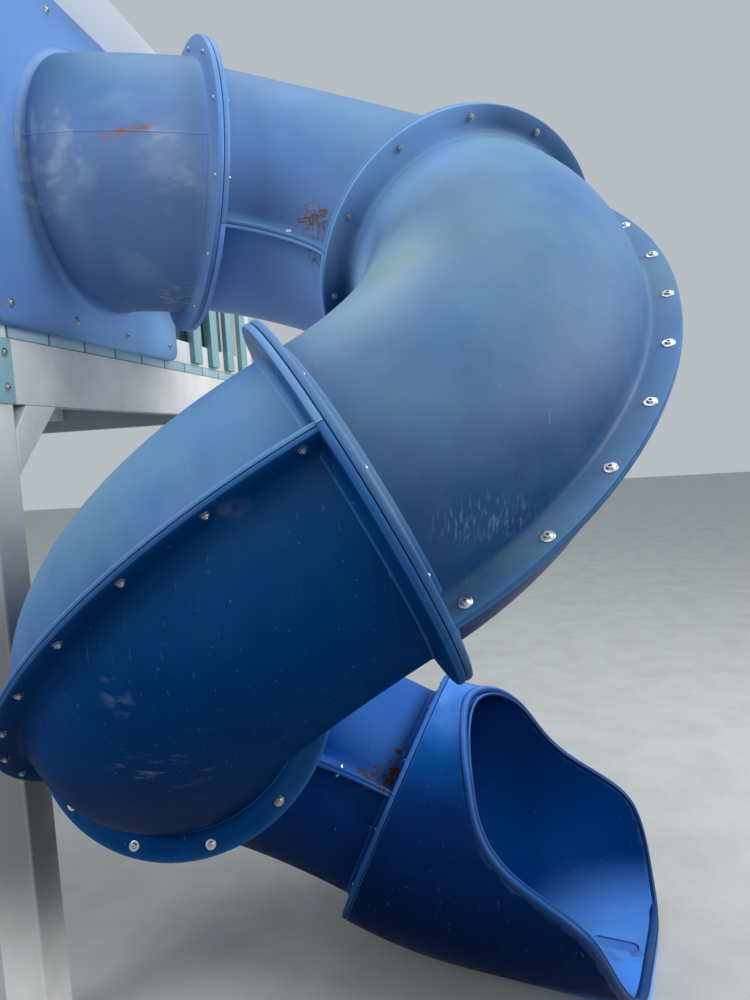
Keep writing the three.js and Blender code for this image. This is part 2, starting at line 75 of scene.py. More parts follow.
# Steps from the edge of a half shell out along its seam flange: outwards, towards the seam
SEAM_STEPS = [(0.0030, -0.0062), (0.0040, -0.0033), (0.0070, -0.0018), (0.0450, -0.0004)]
SEAM_REACH = 0.022
BOLT_CIRCLE = 0.354
RING_BOLTS = 12
SEAM_BOLTS = 9
SEAM_BOLT_STEP = math.radians(10.55)
FIRST_RING_PHASE = math.radians(12.2)
RING_PHASE = math.radians(15)
# Each bolt is turned this much further than the one before it, in radians
RING_BOLT_SPIN = 0.9
SEAM_BOLT_SPIN = 0.7

# Entry hood
PANEL_WIDTH = 1.073
PANEL_CENTRE_Y = 0.1425
PANEL_BOTTOM = 1.847
PANEL_TOP = 2.797
PANEL_THICKNESS = 0.027
PANEL_CORNER = 0.045
PANEL_EDGE = 0.007
THROAT_RADIUS = 0.368
THROAT_CENTRE = Vector((0.025, 0.144, 2.305))
# How far the panel reaches in behind the hood
PANEL_HOLE_LAP = 0.004
HOOD_STEPS = 16
HOOD_END_RADIUS = 0.330
# Raised line of the mould: angle round the hood, radius, how deep it sits, where it runs
PARTING_ANGLE = math.radians(175)
PARTING_RADIUS = 0.0018
PARTING_SINK = 0.0006
PARTING_SHARES = (0.03, 0.96)
PARTING_POINTS = 25
# Fillet between panel and hood: distance out from the wall, radius; then its share of the hood
HOOD_FILLET = [
    (0.0262, 0.3970), (0.0282, 0.3880), (0.0315, 0.3800), (0.0370, 0.3730), (0.0450, 0.3670),
]
FILLET_SHARE = 0.055
# Bolts of the panel: along the wall, up from the ground
PANEL_BOLTS = [
    (-0.324, 1.898), (-0.022, 1.897), (0.283, 1.892), (0.609, 1.896),
    (-0.324, 2.745), (-0.029, 2.745), (0.290, 2.745), (0.609, 2.745),
    (-0.340, 2.178), (-0.340, 2.470), (0.625, 2.178), (0.625, 2.470),
]

# Exit chute
EXIT_AZIMUTH = math.radians(-16)
EXIT_LENGTH = 0.500
EXIT_OUTER_RADIUS = 0.381
EXIT_OUTER_GROWTH = 0.004
EXIT_INNER_RADIUS = 0.360
EXIT_OPENS_WITHIN = 0.300
EXIT_FLOOR_DROP = 0.309
EXIT_STEPS = 40
# Side view of the cut: distance along the level run, height above the axis at its start
EXIT_CUT = [
    (-0.060, 0.430), (-0.028, 0.384), (0.000, 0.350), (0.028, 0.300), (0.055, 0.240),
    (0.078, 0.180), (0.105, 0.130), (0.140, 0.090), (0.177, 0.060), (0.221, 0.035),
    (0.281, 0.005), (0.348, -0.040), (0.383, -0.100), (0.406, -0.170), (0.424, -0.240),
    (0.439, -0.290), (0.451, -0.328), (0.462, -0.364),
]
# Rounded end against ring five: distance from the ring, how far in from the outside
EXIT_END = [(GAP, 0.0050), (0.0014, 0.0018), (0.0038, 0.0000)]
# The hollow's first two rings, along the tube from ring five, and how far it overruns the path
HOLLOW_START = (-0.030, 0.002)
HOLLOW_OVERRUN = 1.02
# Rolled rim and the thin lip inside it: radius, how far back from the cut, shift outwards
RIM_ROLL = (0.0125, 0.0090, 0.0020)
RIM_LIP = (0.0042, 0.0005, -0.0085)
RIM_SINK = 0.002
RIM_SHARE = 0.6
RIM_STEPS = 90
RIM_FLOOR_STEPS = 16
RIM_SMOOTHING = 8
# The slab that cuts the scoop open reaches this far, and this far to each side
CUTTER_REACH = 0.8
CUTTER_HALF = 0.7
# Shallow trough in the floor: length, width and height, and its middle along and across
RECESS = (0.130, 0.046, 0.011)
RECESS_CORNER = 0.020
RECESS_ROUNDING = 0.003
RECESS_ALONG = 0.350
RECESS_ACROSS = -0.010

# Tower, in the wall frame: its front is at X = 0
TOWER_SIDE = 2.075
BACK_FACE = -TOWER_SIDE
NEAR_FACE = -0.426
FAR_FACE = NEAR_FACE + TOWER_SIDE
POST = 0.114
POST_TOP = 3.090
CAP_REACH = 0.005
CAP_SKIRT = 0.030
CAP_LIP = 0.004
CAP_RISE = 0.026
CAP_PEAK_SHARE = 0.14
# Widths of rounded edges
POST_EDGE = 0.008
SLEEVE_EDGE = 0.004
BOARD_EDGE = 0.0035
SLIM_EDGE = 0.003
RUNG_EDGE = 0.005
BRACKET_EDGE = 0.0016
BETWEEN_X = (BACK_FACE + POST + GAP, -POST - GAP)
BETWEEN_Y = (NEAR_FACE + POST + GAP, FAR_FACE - POST - GAP)
# Underside and top of the deck, and of a beam or a rail, with its thickness
BEAM = (1.651, 1.817, 0.050)
DECK = (BEAM[1] + GAP, BEAM[1] + GAP + 0.034)
LOW_RAIL = (DECK[1] + GAP, DECK[1] + GAP + 0.088, 0.040)
TOP_RAIL = (2.822, 3.012, 0.040)
DECK_BOARDS = 10
BOARD_GAP = 0.006
# The field of a deck board lies a little below its border, with a slope between them
BOARD_BORDER = 0.010
BOARD_SLOPE = 0.0015
BOARD_DIP = 0.0012
BOARD_SCREW_INSET = 0.025
JOIST_SHARES = (0.12, 0.5, 0.88)
JOIST_WIDTH = 0.045
JOIST_DEPTH = 0.110
# Width and thickness of a picket, then the low and high end of all pickets
PICKET = (0.082, 0.022)
PICKET_HEIGHT = (1.858, 2.990)
PICKET_SCREW_INSET = 0.018
RAIL_SCREW_INSET = 0.050
# A row of pickets or boards: where the first begins, how many there are, their pitch
FRONT_PICKETS = (0.860, 4, 0.192)
SIDE_PICKETS = (0.0182, 10, 0.192)
INNER_BOARDS = (0.745, 5, 0.096)
INNER_BOARD_LIFT = 0.004
# Side view of a knee brace, from the inner corner of post and beam
BRACE = [(GAP, -0.0653), (GAP, -0.1793), (0.1893, -GAP), (0.0523, -GAP)]
BRACE_THICKNESS = 0.044
# A corner bracket's back and front, out from the post, and how far it reaches past it
BRACKET = (GAP, 0.0053)
BRACKET_REACH = 0.004
BRACKET_DROP = 0.003
# Its bolts: along it, and in from the beam's edges
BRACKET_BOLTS = (0.026, 0.088)
BRACKET_BOLT_INSET = 0.040
LADDER_HEAD = BACK_FACE - GAP
LADDER_FOOT = LADDER_HEAD - 0.560
LADDER_TOP = 1.7913
LADDER_Y = (NEAR_FACE + FAR_FACE) / 2
LADDER_HALF = 0.260
LADDER_RUNGS = 6
# Depth and width of a rail, depth and thickness of a rung
LADDER_RAIL = (0.090, 0.040)
LADDER_RUNG = (0.080, 0.028)
# How far a rung goes into a rail, and the level end on top of a rail
RUNG_SINK = 0.001
LADDER_RAIL_TOP = 0.020


def wall_point(x, y, z):
    """A point of the wall frame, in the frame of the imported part"""
    return WALL_ORIGIN + Vector((x, y, z))


# Working by hand: choosing, placing, shaping


def choose(piece):
    """Selects one piece and nothing else"""
    bpy.ops.object.select_all(action="DESELECT")
    piece.select_set(True)
    bpy.context.view_layer.objects.active = piece


def open_mesh(piece):
    """Opens a piece in edit mode"""
    choose(piece)
    bpy.ops.object.mode_set(mode="EDIT")
    bpy.ops.mesh.select_mode(type="VERT")


def close_mesh():
    """Leaves edit mode"""
    bpy.ops.object.mode_set(mode="OBJECT")


def settle(piece):
    """Puts a piece's place into its mesh"""
    choose(piece)
    bpy.ops.object.transform_apply(location=True, rotation=True, scale=True)
    return piece


def pick(test, kind="VERT"):
    """Selects the vertices, edges or faces of the open mesh that pass a test"""
    bpy.ops.mesh.select_mode(type=kind)
    bpy.ops.mesh.select_all(action="DESELECT")
    mesh = bmesh.from_edit_mesh(bpy.context.edit_object.data)
    items = {"VERT": mesh.verts, "EDGE": mesh.edges, "FACE": mesh.faces}[kind]
    for item in items:
        item.select_set(bool(test(item)))
    mesh.select_flush_mode()
    bmesh.update_edit_mesh(bpy.context.edit_object.data)


def pick_all():
    """Selects all of the open mesh"""
    bpy.ops.mesh.select_all(action="SELECT")


def pick_top():
    """Selects the faces that point straight up"""
    pick(lambda f: f.normal.z > 0.99, "FACE")


def pull_out(move):
    """Extrudes the selection along a vector"""
    bpy.ops.mesh.extrude_region_move(TRANSFORM_OT_translate={"value": move})


def finish_with(piece, kind, **settings):
    """Adds one modifier and applies it"""
    choose(piece)
    modifier = piece.modifiers.new(kind.lower(), kind)
    for name, value in settings.items():
        setattr(modifier, name, value)
    bpy.ops.object.modifier_apply(modifier=modifier.name)


def round_edges(piece, width, segments=2, angle=40):
    """Rounds the edges that are sharper than an angle in degrees"""
    limit = math.radians(angle)
    finish_with(
        piece, "BEVEL", width=width, segments=segments, limit_method="ANGLE", angle_limit=limit,
        harden_normals=False)


def smooth(piece, angle=38):
    """Shades a piece smooth where its faces meet at less than an angle in degrees"""
    choose(piece)
    bpy.ops.object.shade_smooth_by_angle(angle=math.radians(angle))


def joined(pieces):
    """Joins pieces into the first one"""
    bpy.ops.object.select_all(action="DESELECT")
    for piece in pieces:
        piece.select_set(True)
    bpy.context.view_layer.objects.active = pieces[0]
    if len(pieces) > 1:
        bpy.ops.object.join()
    return bpy.context.object


def take_away(piece, cutter):
    """Cuts one piece out of another"""
    finish_with(piece, "BOOLEAN", object=cutter, operation="DIFFERENCE", solver="EXACT")
    bpy.data.objects.remove(cutter)


def face_outwards(piece):
    """Merges points that lie on each other and turns every face outwards"""
    open_mesh(piece)
    pick_all()
    bpy.ops.mesh.remove_doubles(threshold=SAME_POINT)
    bpy.ops.mesh.normals_make_consistent(inside=False)
    close_mesh()


def hand_over(piece, name, material, nodes=()):
    """Names a finished piece, gives it its material and hands it to the frame"""
    piece.name = name
    piece.data.name = name
    piece.data.materials.clear()
    piece.data.materials.append(material)
    if nodes:
        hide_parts(*nodes)
    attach(piece, "root")


def block(centre, size, turn=(0, 0, 0)):
    """A plain block round its centre"""
    bpy.ops.mesh.primitive_cube_add(size=1, location=centre, rotation=turn)
    piece = bpy.context.object
    piece.scale = size
    return settle(piece)


def traced(points, place):
    """Starts from one point and extrudes it from point to point, in the axes of a place"""
    bpy.ops.mesh.primitive_plane_add(size=0.01, location=(0, 0, 0))
    piece = bpy.context.object
    open_mesh(piece)
    pick_all()
    bpy.ops.mesh.merge(type="CENTER")
    spots = [place @ Vector(point) for point in points]
    bpy.ops.transform.translate(value=spots[0])
    for before, after in zip(spots, spots[1:]):
        pull_out(after - before)
    close_mesh()
    return piece


def closed_wire():
    """Joins the two ends of the open mesh's wire"""
    mesh = bmesh.from_edit_mesh(bpy.context.edit_object.data)
    ends = {v.index for v in mesh.verts if len(v.link_edges) == 1}
    pick(lambda v: v.index in ends)
    bpy.ops.mesh.edge_face_add()


def sawn(outline, place, move):
    """A solid: an outline drawn in the axes of a place, closed, filled and pulled out"""
    piece = traced(outline, place)
    open_mesh(piece)
    closed_wire()
    pick_all()
    bpy.ops.mesh.edge_face_add()
    pull_out(move)
    close_mesh()
    face_outwards(piece)
    return piece


def beaded(piece, radius, **settings):
    """Gives a wire a round section"""
    choose(piece)
    bpy.ops.object.convert(target="CURVE")
    line = bpy.context.object
    line.data.bevel_depth = radius
    for name, value in settings.items():
        setattr(line.data, name, value)
    bpy.ops.object.convert(target="MESH")
    return bpy.context.object


def add_ring(place, radius, sides=TUBE_SIDES):
    """A circle of points square to a place's own Z"""
    bpy.ops.mesh.primitive_circle_add(
        vertices=sides, radius=radius, fill_type="NOTHING",
        location=place.translation, rotation=place.to_euler())


def skinned_rings(rings, sides=TUBE_SIDES):
    """Circles set up one behind the other and bridged into a tube"""
    add_ring(*rings[0], sides)
    piece = settle(bpy.context.object)
    open_mesh(piece)
    for place, radius in rings[1:]:
        add_ring(place, radius, sides)
    for i in range(len(rings) - 1):
        wanted = set(range(i * sides, (i + 2) * sides))
        pick(lambda v: v.index in wanted)
        bpy.ops.mesh.select_mode(type="EDGE")
        bpy.ops.mesh.bridge_edge_loops()
    close_mesh()
    return piece


# Places along the slide: their X points out of the bend and their Z along the tube


def set_up(outward, middle, heading, centre):
    """A place from its three axes and its centre"""
    place = Matrix((outward, middle, heading)).transposed().to_4x4()
    place.translation = centre
    return place


def across_the_tube(outward, heading, centre):
    """A place square to the tube, from the way out of the bend and the way along the tube"""
    return set_up(outward, heading.cross(outward), heading, centre)


def facing(azimuth, pitch, centre):
    """A place that looks along an azimuth and a pitch, its X level and to the left"""
    level = math.cos(pitch)
    heading = Vector((math.cos(azimuth) * level, math.sin(azimuth) * level, math.sin(pitch)))
    left = Vector((-math.sin(azimuth), math.cos(azimuth), 0))
    return across_the_tube(left, heading, centre)


def moved(place, distance):
    """The place moved along the tube"""
    return place @ Matrix.Translation((0, 0, distance))


def along_bend(place, turn):
    """The place carried round a bend by an angle"""
    pivot = Matrix.Translation((-BEND_RADIUS, 0, 0))
    return place @ pivot @ Matrix.Rotation(-turn, 4, "Y") @ pivot.inverted()


def elbow_place(ring, turn):
    """A place on an elbow's axis, past the straight collar at its ring"""
    return along_bend(moved(ring, COLLAR), turn)


def axis_of(place, index):
    """The direction of a place's own X, Y or Z"""
    return place.col[index].xyz.normalized()


def ring_places():
    """For each ring of bolts the place before and after the next elbow is rolled"""
    arriving = [facing(RING_ONE_AZIMUTH, RING_ONE_PITCH, WALL_ORIGIN + RING_ONE)]
    leaving = []
    for roll in ELBOW_ROLLS:
        start = arriving[-1] @ Matrix.Rotation(math.radians(roll), 4, "Z")
        leaving.append(start)
        arriving.append(moved(elbow_place(start, BEND_ANGLE), COLLAR))
    return arriving, leaving


ARRIVING, LEAVING = ring_places()


def flange_ring(place, way, sweep, start_turn=0.0, steps=48):
    """The section of a ring flange spun round the tube's axis; way is +1 or -1 along it"""
    section = place @ Matrix.Rotation(start_turn, 4, "Z")
    piece = traced([(radius, 0, way * along) for radius, along in FLANGE_SECTION], section)
    open_mesh(piece)
    closed_wire()
    pick_all()
    bpy.ops.mesh.spin(steps=steps, angle=sweep, center=place.translation, axis=axis_of(place, 2))
    if abs(sweep) < 2 * math.pi:
        pick_all()
        bpy.ops.mesh.fill_holes(sides=0)
    close_mesh()
    face_outwards(piece)
    return piece


def elbow_half(name, ring, side, material, node):
    """One moulded half of an elbow, with seam flanges and half a ring flange at each end"""
    across = axis_of(ring, 1) * side
    outward = axis_of(ring, 0)
    heading = axis_of(ring, 2)
    first = moved(ring, GAP)
    add_ring(first, TUBE_RADIUS)
    shell = settle(bpy.context.object)
    centre = first.translation
    open_mesh(shell)
    pick(lambda v: (v.co - centre).dot(across) < SEAM_LIFT)
    bpy.ops.mesh.delete(type="VERT")
    for way in (1, -1):
        edge = way * outward
        pick(lambda v: (v.co - centre).dot(across) < SEAM_REACH and (v.co - centre).dot(edge) > 0)
        for out, down in SEAM_STEPS:
            pull_out(edge * out + across * down)
    pick_all()
    pull_out(heading * (COLLAR - GAP))
    pivot = (moved(ring, COLLAR) @ Matrix.Translation((-BEND_RADIUS, 0, 0))).translation
    bpy.ops.mesh.spin(steps=BEND_STEPS, angle=BEND_ANGLE, center=pivot, axis=axis_of(ring, 1))
    last = elbow_place(ring, BEND_ANGLE)
    pull_out(axis_of(last, 2) * (COLLAR - GAP))
    point_away(first, side)
    close_mesh()
    finish_with(shell, "SOLIDIFY", thickness=TUBE_WALL, offset=-1, use_even_offset=True)
    round_edges(shell, EDGE_ROUNDING, angle=50)
    half_turn = math.pi - 2 * HALF_RING_GAP
    start_turn = HALF_RING_GAP if side > 0 else math.pi + HALF_RING_GAP
    flanges = [
        flange_ring(ring, 1, -half_turn, start_turn),
        flange_ring(moved(last, COLLAR), -1, -half_turn, start_turn),
    ]
    piece = joined([shell, *flanges])
    smooth(piece)
    hand_over(piece, name, material, [node])


def point_away(first, side):
    """Turns the open shell's faces so that they point out of the tube"""
    mesh = bmesh.from_edit_mesh(bpy.context.edit_object.data)
    across = axis_of(first, 1) * side
    top = max(mesh.faces, key=lambda f: (f.calc_center_median() - first.translation).dot(across))
    if top.normal.dot(across) < 0:
        pick_all()
        bpy.ops.mesh.flip_normals()


# Fasteners, each modelled once and copied


def blank(radius, height, middle, sides):
    """A round or many-sided blank over the origin, its middle at a height"""
    bpy.ops.mesh.primitive_cylinder_add(
        vertices=sides, radius=radius, depth=height, location=(0, 0, middle))
    return bpy.context.object


def taper_top(piece, share):
    """Opens a blank and narrows its top"""
    open_mesh(piece)
    pick_top()
    bpy.ops.transform.resize(value=(share, share, 1))


def socket_head(piece, taper, rim, depth):
    """Makes a blank a head with a tapered side and a socket in its top"""
    taper_top(piece, taper)
    bpy.ops.mesh.inset(thickness=rim, depth=0.0)
    pull_out((0, 0, -depth))
    close_mesh()


def bolt_head():
    """A button head on a wide washer, standing on its origin"""
    washer = blank(radius=0.0125, height=0.0018, middle=0.0009, sides=20)
    round_edges(washer, 0.0005, 1)
    head = blank(radius=0.0078, height=0.0044, middle=0.0038, sides=16)
    socket_head(head, taper=0.62, rim=0.0016, depth=0.0024)
    piece = joined([washer, head])
    smooth(settle(piece), 45)
    return piece


def small_head():
    """A low button head without a washer"""
    piece = blank(radius=0.0064, height=0.0042, middle=0.0020, sides=14)
    socket_head(piece, taper=0.6, rim=0.0012, depth=0.0018)
    smooth(settle(piece), 45)
    return piece


def bolt_nut():
    """A hexagon nut on a washer with the end of the bolt showing"""
    washer = blank(radius=0.0085, height=0.0014, middle=0.0007, sides=16)
    nut = blank(radius=0.0066, height=0.0050, middle=0.0038, sides=6)
    round_edges(nut, 0.0005, 1)
    end = blank(radius=0.0034, height=0.0030, middle=0.0075, sides=12)
    taper_top(end, 0.75)
    close_mesh()
    piece = joined([washer, nut, end])
    smooth(settle(piece), 35)
    return piece


def screw_head():
    """A small pan head with a recess"""
    piece = blank(radius=0.0048, height=0.0024, middle=0.0008, sides=10)
    socket_head(piece, taper=0.7, rim=0.0014, depth=0.0009)
    smooth(settle(piece), 45)
    return piece


def copies(model, places):
    """Copies of a fastener at many places, joined into one piece"""
    made = []
    for place in places:
        choose(model)
        bpy.ops.object.duplicate()
        one = bpy.context.object
        one.matrix_world = place
        made.append(settle(one))
    return joined(made)


def standing(point, normal, spin=0.0):
    """A place whose Z is the surface normal, turned about it"""
    turn = Vector(normal).to_track_quat("Z", "Y").to_matrix().to_4x4()
    return Matrix.Translation(point) @ turn @ Matrix.Rotation(spin, 4, "Z")


def ring_bolt_places(place, side, phase):
    """Where the bolts of a ring stand on its face; side is +1 or -1 along the tube"""
    lift = side * FLANGE_THICKNESS
    places = []
    for i in range(RING_BOLTS):
        angle = phase + 2 * math.pi * i / RING_BOLTS
        spot = place @ Vector((BOLT_CIRCLE * math.cos(angle), BOLT_CIRCLE * math.sin(angle), lift))
        places.append(standing(spot, axis_of(place, 2) * side, i * RING_BOLT_SPIN))
    return places


def seam_bolt_places(ring, side):
    """Where the bolts of an elbow's outer and inner seam stand"""
    places = []
    middle = BEND_ANGLE / 2
    for i in range(SEAM_BOLTS):
        turn = middle + (i - (SEAM_BOLTS - 1) / 2) * SEAM_BOLT_STEP
        spot = elbow_place(ring, turn) @ Vector((BOLT_CIRCLE, side * SEAM_LIFT, 0))
        places.append(standing(spot, axis_of(ring, 1) * side, i * SEAM_BOLT_SPIN))
    spot = elbow_place(ring, middle) @ Vector((-BOLT_CIRCLE, side * SEAM_LIFT, 0))
    places.append(standing(spot, axis_of(ring, 1) * side))
    return places


# Entry hood


def hood_place(share):
    """A place on the hood's axis, from the panel at 0 to the first ring at 1"""
    azimuth = RING_ONE_AZIMUTH * share
    end_reach = (RING_ONE.x - THROAT_CENTRE.x) / math.sin(RING_ONE_AZIMUTH)
    pivot_y = RING_ONE.y + end_reach * math.cos(RING_ONE_AZIMUTH)
    start_reach = pivot_y - THROAT_CENTRE.y
    reach = start_reach + (end_reach - start_reach) * share
    x = THROAT_CENTRE.x + reach * math.sin(azimuth)
    y = pivot_y - reach * math.cos(azimuth)
    z = THROAT_CENTRE.z + (RING_ONE.z - THROAT_CENTRE.z) * share
    return facing(azimuth, RING_ONE_PITCH * share, wall_point(x, y, z))


def hood_radius(share):
    """The hood narrows quickly at first, then runs nearly straight"""
    return THROAT_RADIUS + (HOOD_END_RADIUS - THROAT_RADIUS) * math.sin(share * math.pi / 2)


def entry_panel():
    """The wall panel: a plate with rounded corners, a soft front edge and a round hole"""
    middle_height = (PANEL_BOTTOM + PANEL_TOP) / 2
    centre = wall_point(PANEL_THICKNESS / 2 + GAP, PANEL_CENTRE_Y, middle_height)
    panel = block(centre, (PANEL_THICKNESS, PANEL_WIDTH, PANEL_TOP - PANEL_BOTTOM))
    open_mesh(panel)
    pick(lambda e: abs((e.verts[0].co - e.verts[1].co).x) > PANEL_THICKNESS / 2, "EDGE")
    bpy.ops.mesh.bevel(offset=PANEL_CORNER, segments=8, affect="EDGES")
    pick(lambda e: all(v.co.x > centre.x for v in e.verts), "EDGE")
    bpy.ops.mesh.bevel(offset=PANEL_EDGE, segments=4, affect="EDGES")
    close_mesh()
    bpy.ops.mesh.primitive_cylinder_add(
        vertices=TUBE_SIDES, radius=THROAT_RADIUS - PANEL_HOLE_LAP, depth=0.2,
        location=WALL_ORIGIN + THROAT_CENTRE, rotation=(0, math.pi / 2, 0))
    take_away(panel, settle(bpy.context.object))
    return panel


def parting_line():
    """The thin raised line that the mould left along the near side of the hood"""
    outward = Vector((math.cos(PARTING_ANGLE), math.sin(PARTING_ANGLE), 0))
    low, high = PARTING_SHARES
    spots = []
    for i in range(PARTING_POINTS):
        share = low + (high - low) * i / (PARTING_POINTS - 1)
        spots.append(hood_place(share) @ (outward * (hood_radius(share) - PARTING_SINK)))
    line = traced(spots, Matrix.Identity(4))
    return beaded(line, PARTING_RADIUS, bevel_resolution=1, use_fill_caps=True)


def entry_hood(material):
    """The short wide tube that turns from the panel to the first ring, with the panel"""
    rings = []
    for out, radius in HOOD_FILLET:
        rings.append((moved(hood_place(0), out - THROAT_CENTRE.x), radius))
    for i in range(1, HOOD_STEPS + 1):
        share = FILLET_SHARE + (1 - FILLET_SHARE) * i / HOOD_STEPS
        rings.append((hood_place(share), hood_radius(share)))
    rings[-1] = (moved(hood_place(1), -GAP), HOOD_END_RADIUS)
    tube = skinned_rings(rings)
    face_outwards(tube)
    finish_with(tube, "SOLIDIFY", thickness=TUBE_WALL, offset=-1, use_even_offset=True)
    flange = flange_ring(ARRIVING[0], -1, 2 * math.pi, steps=TUBE_SIDES)
    piece = joined([tube, entry_panel(), flange, parting_line()])
    smooth(piece)
    hand_over(piece, "hood_and_panel", material, ["entry_hood"])


# Exit chute


def exit_start():
    """Ring five turned so that the chute bends up to level, and the turn it needs"""
    ring = ARRIVING[-1]
    level = Vector((math.cos(EXIT_AZIMUTH), math.sin(EXIT_AZIMUTH), 0))
    heading = axis_of(ring, 2)
    outward = -(level - heading * level.dot(heading)).normalized()
    return across_the_tube(outward, heading, ring.translation), heading.angle(level)


def level_start():
    """The place where the level run begins, and the length of the bend before it"""
    first, turn = exit_start()
    return along_bend(moved(first, COLLAR), turn), BEND_RADIUS * turn


def level_axes():
    """Where the level run begins, the way it heads and the way across it"""
    start = level_start()[0]
    heading = axis_of(start, 2)
    return start.translation, heading, heading.cross(UP)


def exit_place(distance):
    """The place on the chute's axis at a distance along it from ring five"""
    level, bend_length = level_start()
    if distance < bend_length:
        return along_bend(moved(exit_start()[0], COLLAR), distance / BEND_RADIUS)
    return moved(level, distance - bend_length)


def exit_outside(share):
    """The chute's outer radius, which grows evenly to its end"""
    return EXIT_OUTER_RADIUS + EXIT_OUTER_GROWTH * share


def exit_inside(distance):
    """The chute's inner radius, which opens out from the tube's"""
    opened = min(1, distance / EXIT_OPENS_WITHIN)
    start = TUBE_RADIUS - TUBE_WALL
    return start + (EXIT_INNER_RADIUS - start) * math.sin(opened * math.pi / 2) ** 2


def smooth_line(points, steps):
    """A rounded line through the points"""
    line = []
    ends = [points[0], *points, points[-1]]
    for i in range(len(points) - 1):
        a, b, c, d = (Vector(p) for p in ends[i:i + 4])
        for k in range(steps):
            t = k / steps
            line.append(0.5 * (2 * b + (c - a) * t + (2 * a - 5 * b + 4 * c - d) * t * t
                               + (3 * b - a - 3 * c + d) * t * t * t))
    line.append(Vector(points[-1]))
    return line


def cut_line(back):
    """The side view of the cut, set back into the chute"""
    line = smooth_line(EXIT_CUT, 4)
    moved_line = []
    for i, point in enumerate(line):
        way = line[min(i + 1, len(line) - 1)] - line[max(i - 1, 0)]
        moved_line.append(point + Vector((way.y, -way.x)).normalized() * back)
    return moved_line


def cut_distance(line, height):
    """How far along the level run the cut passes a height"""
    for above, below in zip(line, line[1:]):
        if below.y <= height <= above.y:
            return above.x + (below.x - above.x) * (above.y - height) / (above.y - below.y)
    return line[-1].x


def closed_solid(piece):
    """Caps the open ends of a skinned piece"""
    open_mesh(piece)
    pick_all()
    bpy.ops.mesh.fill_holes(sides=0)
    close_mesh()
    face_outwards(piece)
    return piece


def keep_above(piece, level):
    """Cuts a piece off level and closes the cut"""
    open_mesh(piece)
    pick_all()
    bpy.ops.mesh.bisect(plane_co=UP * level, plane_no=UP, use_fill=True, clear_inner=True)
    close_mesh()
    face_outwards(piece)
    return piece


def exit_cutter():
    """The space above and beyond the scoop's edge, as a thick slab across the chute"""
    start, heading, side = level_axes()
    slab = set_up(heading, UP, side, start - side * CUTTER_HALF)
    line = cut_line(RIM_ROLL[1])
    far = CUTTER_REACH
    outline = [(far, far), (line[0].x, far), *line, (line[-1].x, -far), (far, -far)]
    return sawn([(x, z, 0) for x, z in outline], slab, side * 2 * CUTTER_HALF)


def rim_points(back, outwards):
    """A closed line round the scoop's edge: down one side, across the floor and up again"""
    start, heading, side = level_axes()
    cut = cut_line(back)
    middle = (exit_outside(RIM_SHARE) + EXIT_INNER_RADIUS) / 2 + outwards
    floor_depth = EXIT_FLOOR_DROP + RIM_ROLL[0] - RIM_SINK - outwards
    floor_angle = math.acos(-floor_depth / middle)
    half = []
    for i in range(RIM_STEPS + 1):
        angle = floor_angle * i / RIM_STEPS
        height = middle * math.cos(angle)
        spot = start + heading * cut_distance(cut, height) + UP * height
        half.append((spot, side * middle * math.sin(angle)))
    last, reach = half[-1]
    floor = [last + reach * (1 - 2 * k / RIM_FLOOR_STEPS) for k in range(1, RIM_FLOOR_STEPS)]
    one_side = [spot + offset for spot, offset in half]
    other_side = [spot - offset for spot, offset in reversed(half[1:])]
    line = one_side + floor + other_side
    for _ in range(RIM_SMOOTHING):
        after = line[1:] + line[:1]
        before = line[-1:] + line[:-1]
        line = [(a + b * 2 + c) / 4 for a, b, c in zip(before, line, after)]
    return line


def rim_bead(radius, back, outwards):
    """A round bead along the scoop's edge"""
    line = traced(rim_points(back, outwards), Matrix.Identity(4))
    open_mesh(line)
    closed_wire()
    close_mesh()
    return beaded(line, radius, bevel_resolution=4)


def floor_recess():
    """A shallow trough with round ends, sunk into the floor near its end"""
    start, heading, side = level_axes()
    centre = start + heading * RECESS_ALONG + side * RECESS_ACROSS - UP * EXIT_FLOOR_DROP
    piece = block(centre, RECESS, (0, 0, EXIT_AZIMUTH))
    open_mesh(piece)
    pick(lambda e: abs((e.verts[0].co - e.verts[1].co).z) > RECESS[2] / 2, "EDGE")
    bpy.ops.mesh.bevel(offset=RECESS_CORNER, segments=6, affect="EDGES")
    pick(lambda e: all(v.co.z < centre.z for v in e.verts), "EDGE")
    bpy.ops.mesh.bevel(offset=RECESS_ROUNDING, segments=2, affect="EDGES")
    close_mesh()
    face_outwards(piece)
    return piece


def exit_chute():
    """The thick chute that levels out and is cut open to a scoop, and its rolled rim"""
    first = exit_start()[0]
    level, bend_length = level_start()
    path = bend_length + EXIT_LENGTH
    outside = [(moved(first, along), EXIT_OUTER_RADIUS - inwards) for along, inwards in EXIT_END]
    inside = [(moved(first, along), exit_inside(0)) for along in HOLLOW_START]
    for i in range(EXIT_STEPS + 1):
        distance = path * i / EXIT_STEPS
        outside.append((exit_place(distance), exit_outside(i / EXIT_STEPS)))
        inside.append((exit_place(distance * HOLLOW_OVERRUN), exit_inside(distance)))
    body = keep_above(closed_solid(skinned_rings(outside)), 0.0)
    floor_level = level.translation.z - EXIT_FLOOR_DROP
    take_away(body, keep_above(closed_solid(skinned_rings(inside)), floor_level))
    take_away(body, exit_cutter())
    take_away(body, floor_recess())
    smooth(body)
    hand_over(body, "scoop_exit", EXIT_BLUE, ["exit_chute"])
    rim = joined([rim_bead(*RIM_ROLL), rim_bead(*RIM_LIP)])
    smooth(rim)
    hand_over(rim, "scoop_rim", RIM_BLUE)


# Tower


def bar(low, high, edge=SLEEVE_EDGE, segments=3):
    """A bar with rounded edges between two corners in the wall frame"""
    low = Vector(low)
    high = Vector(high)
    piece = block(wall_point(*((low + high) / 2)), high - low)
    round_edges(piece, edge, segments)
    return piece


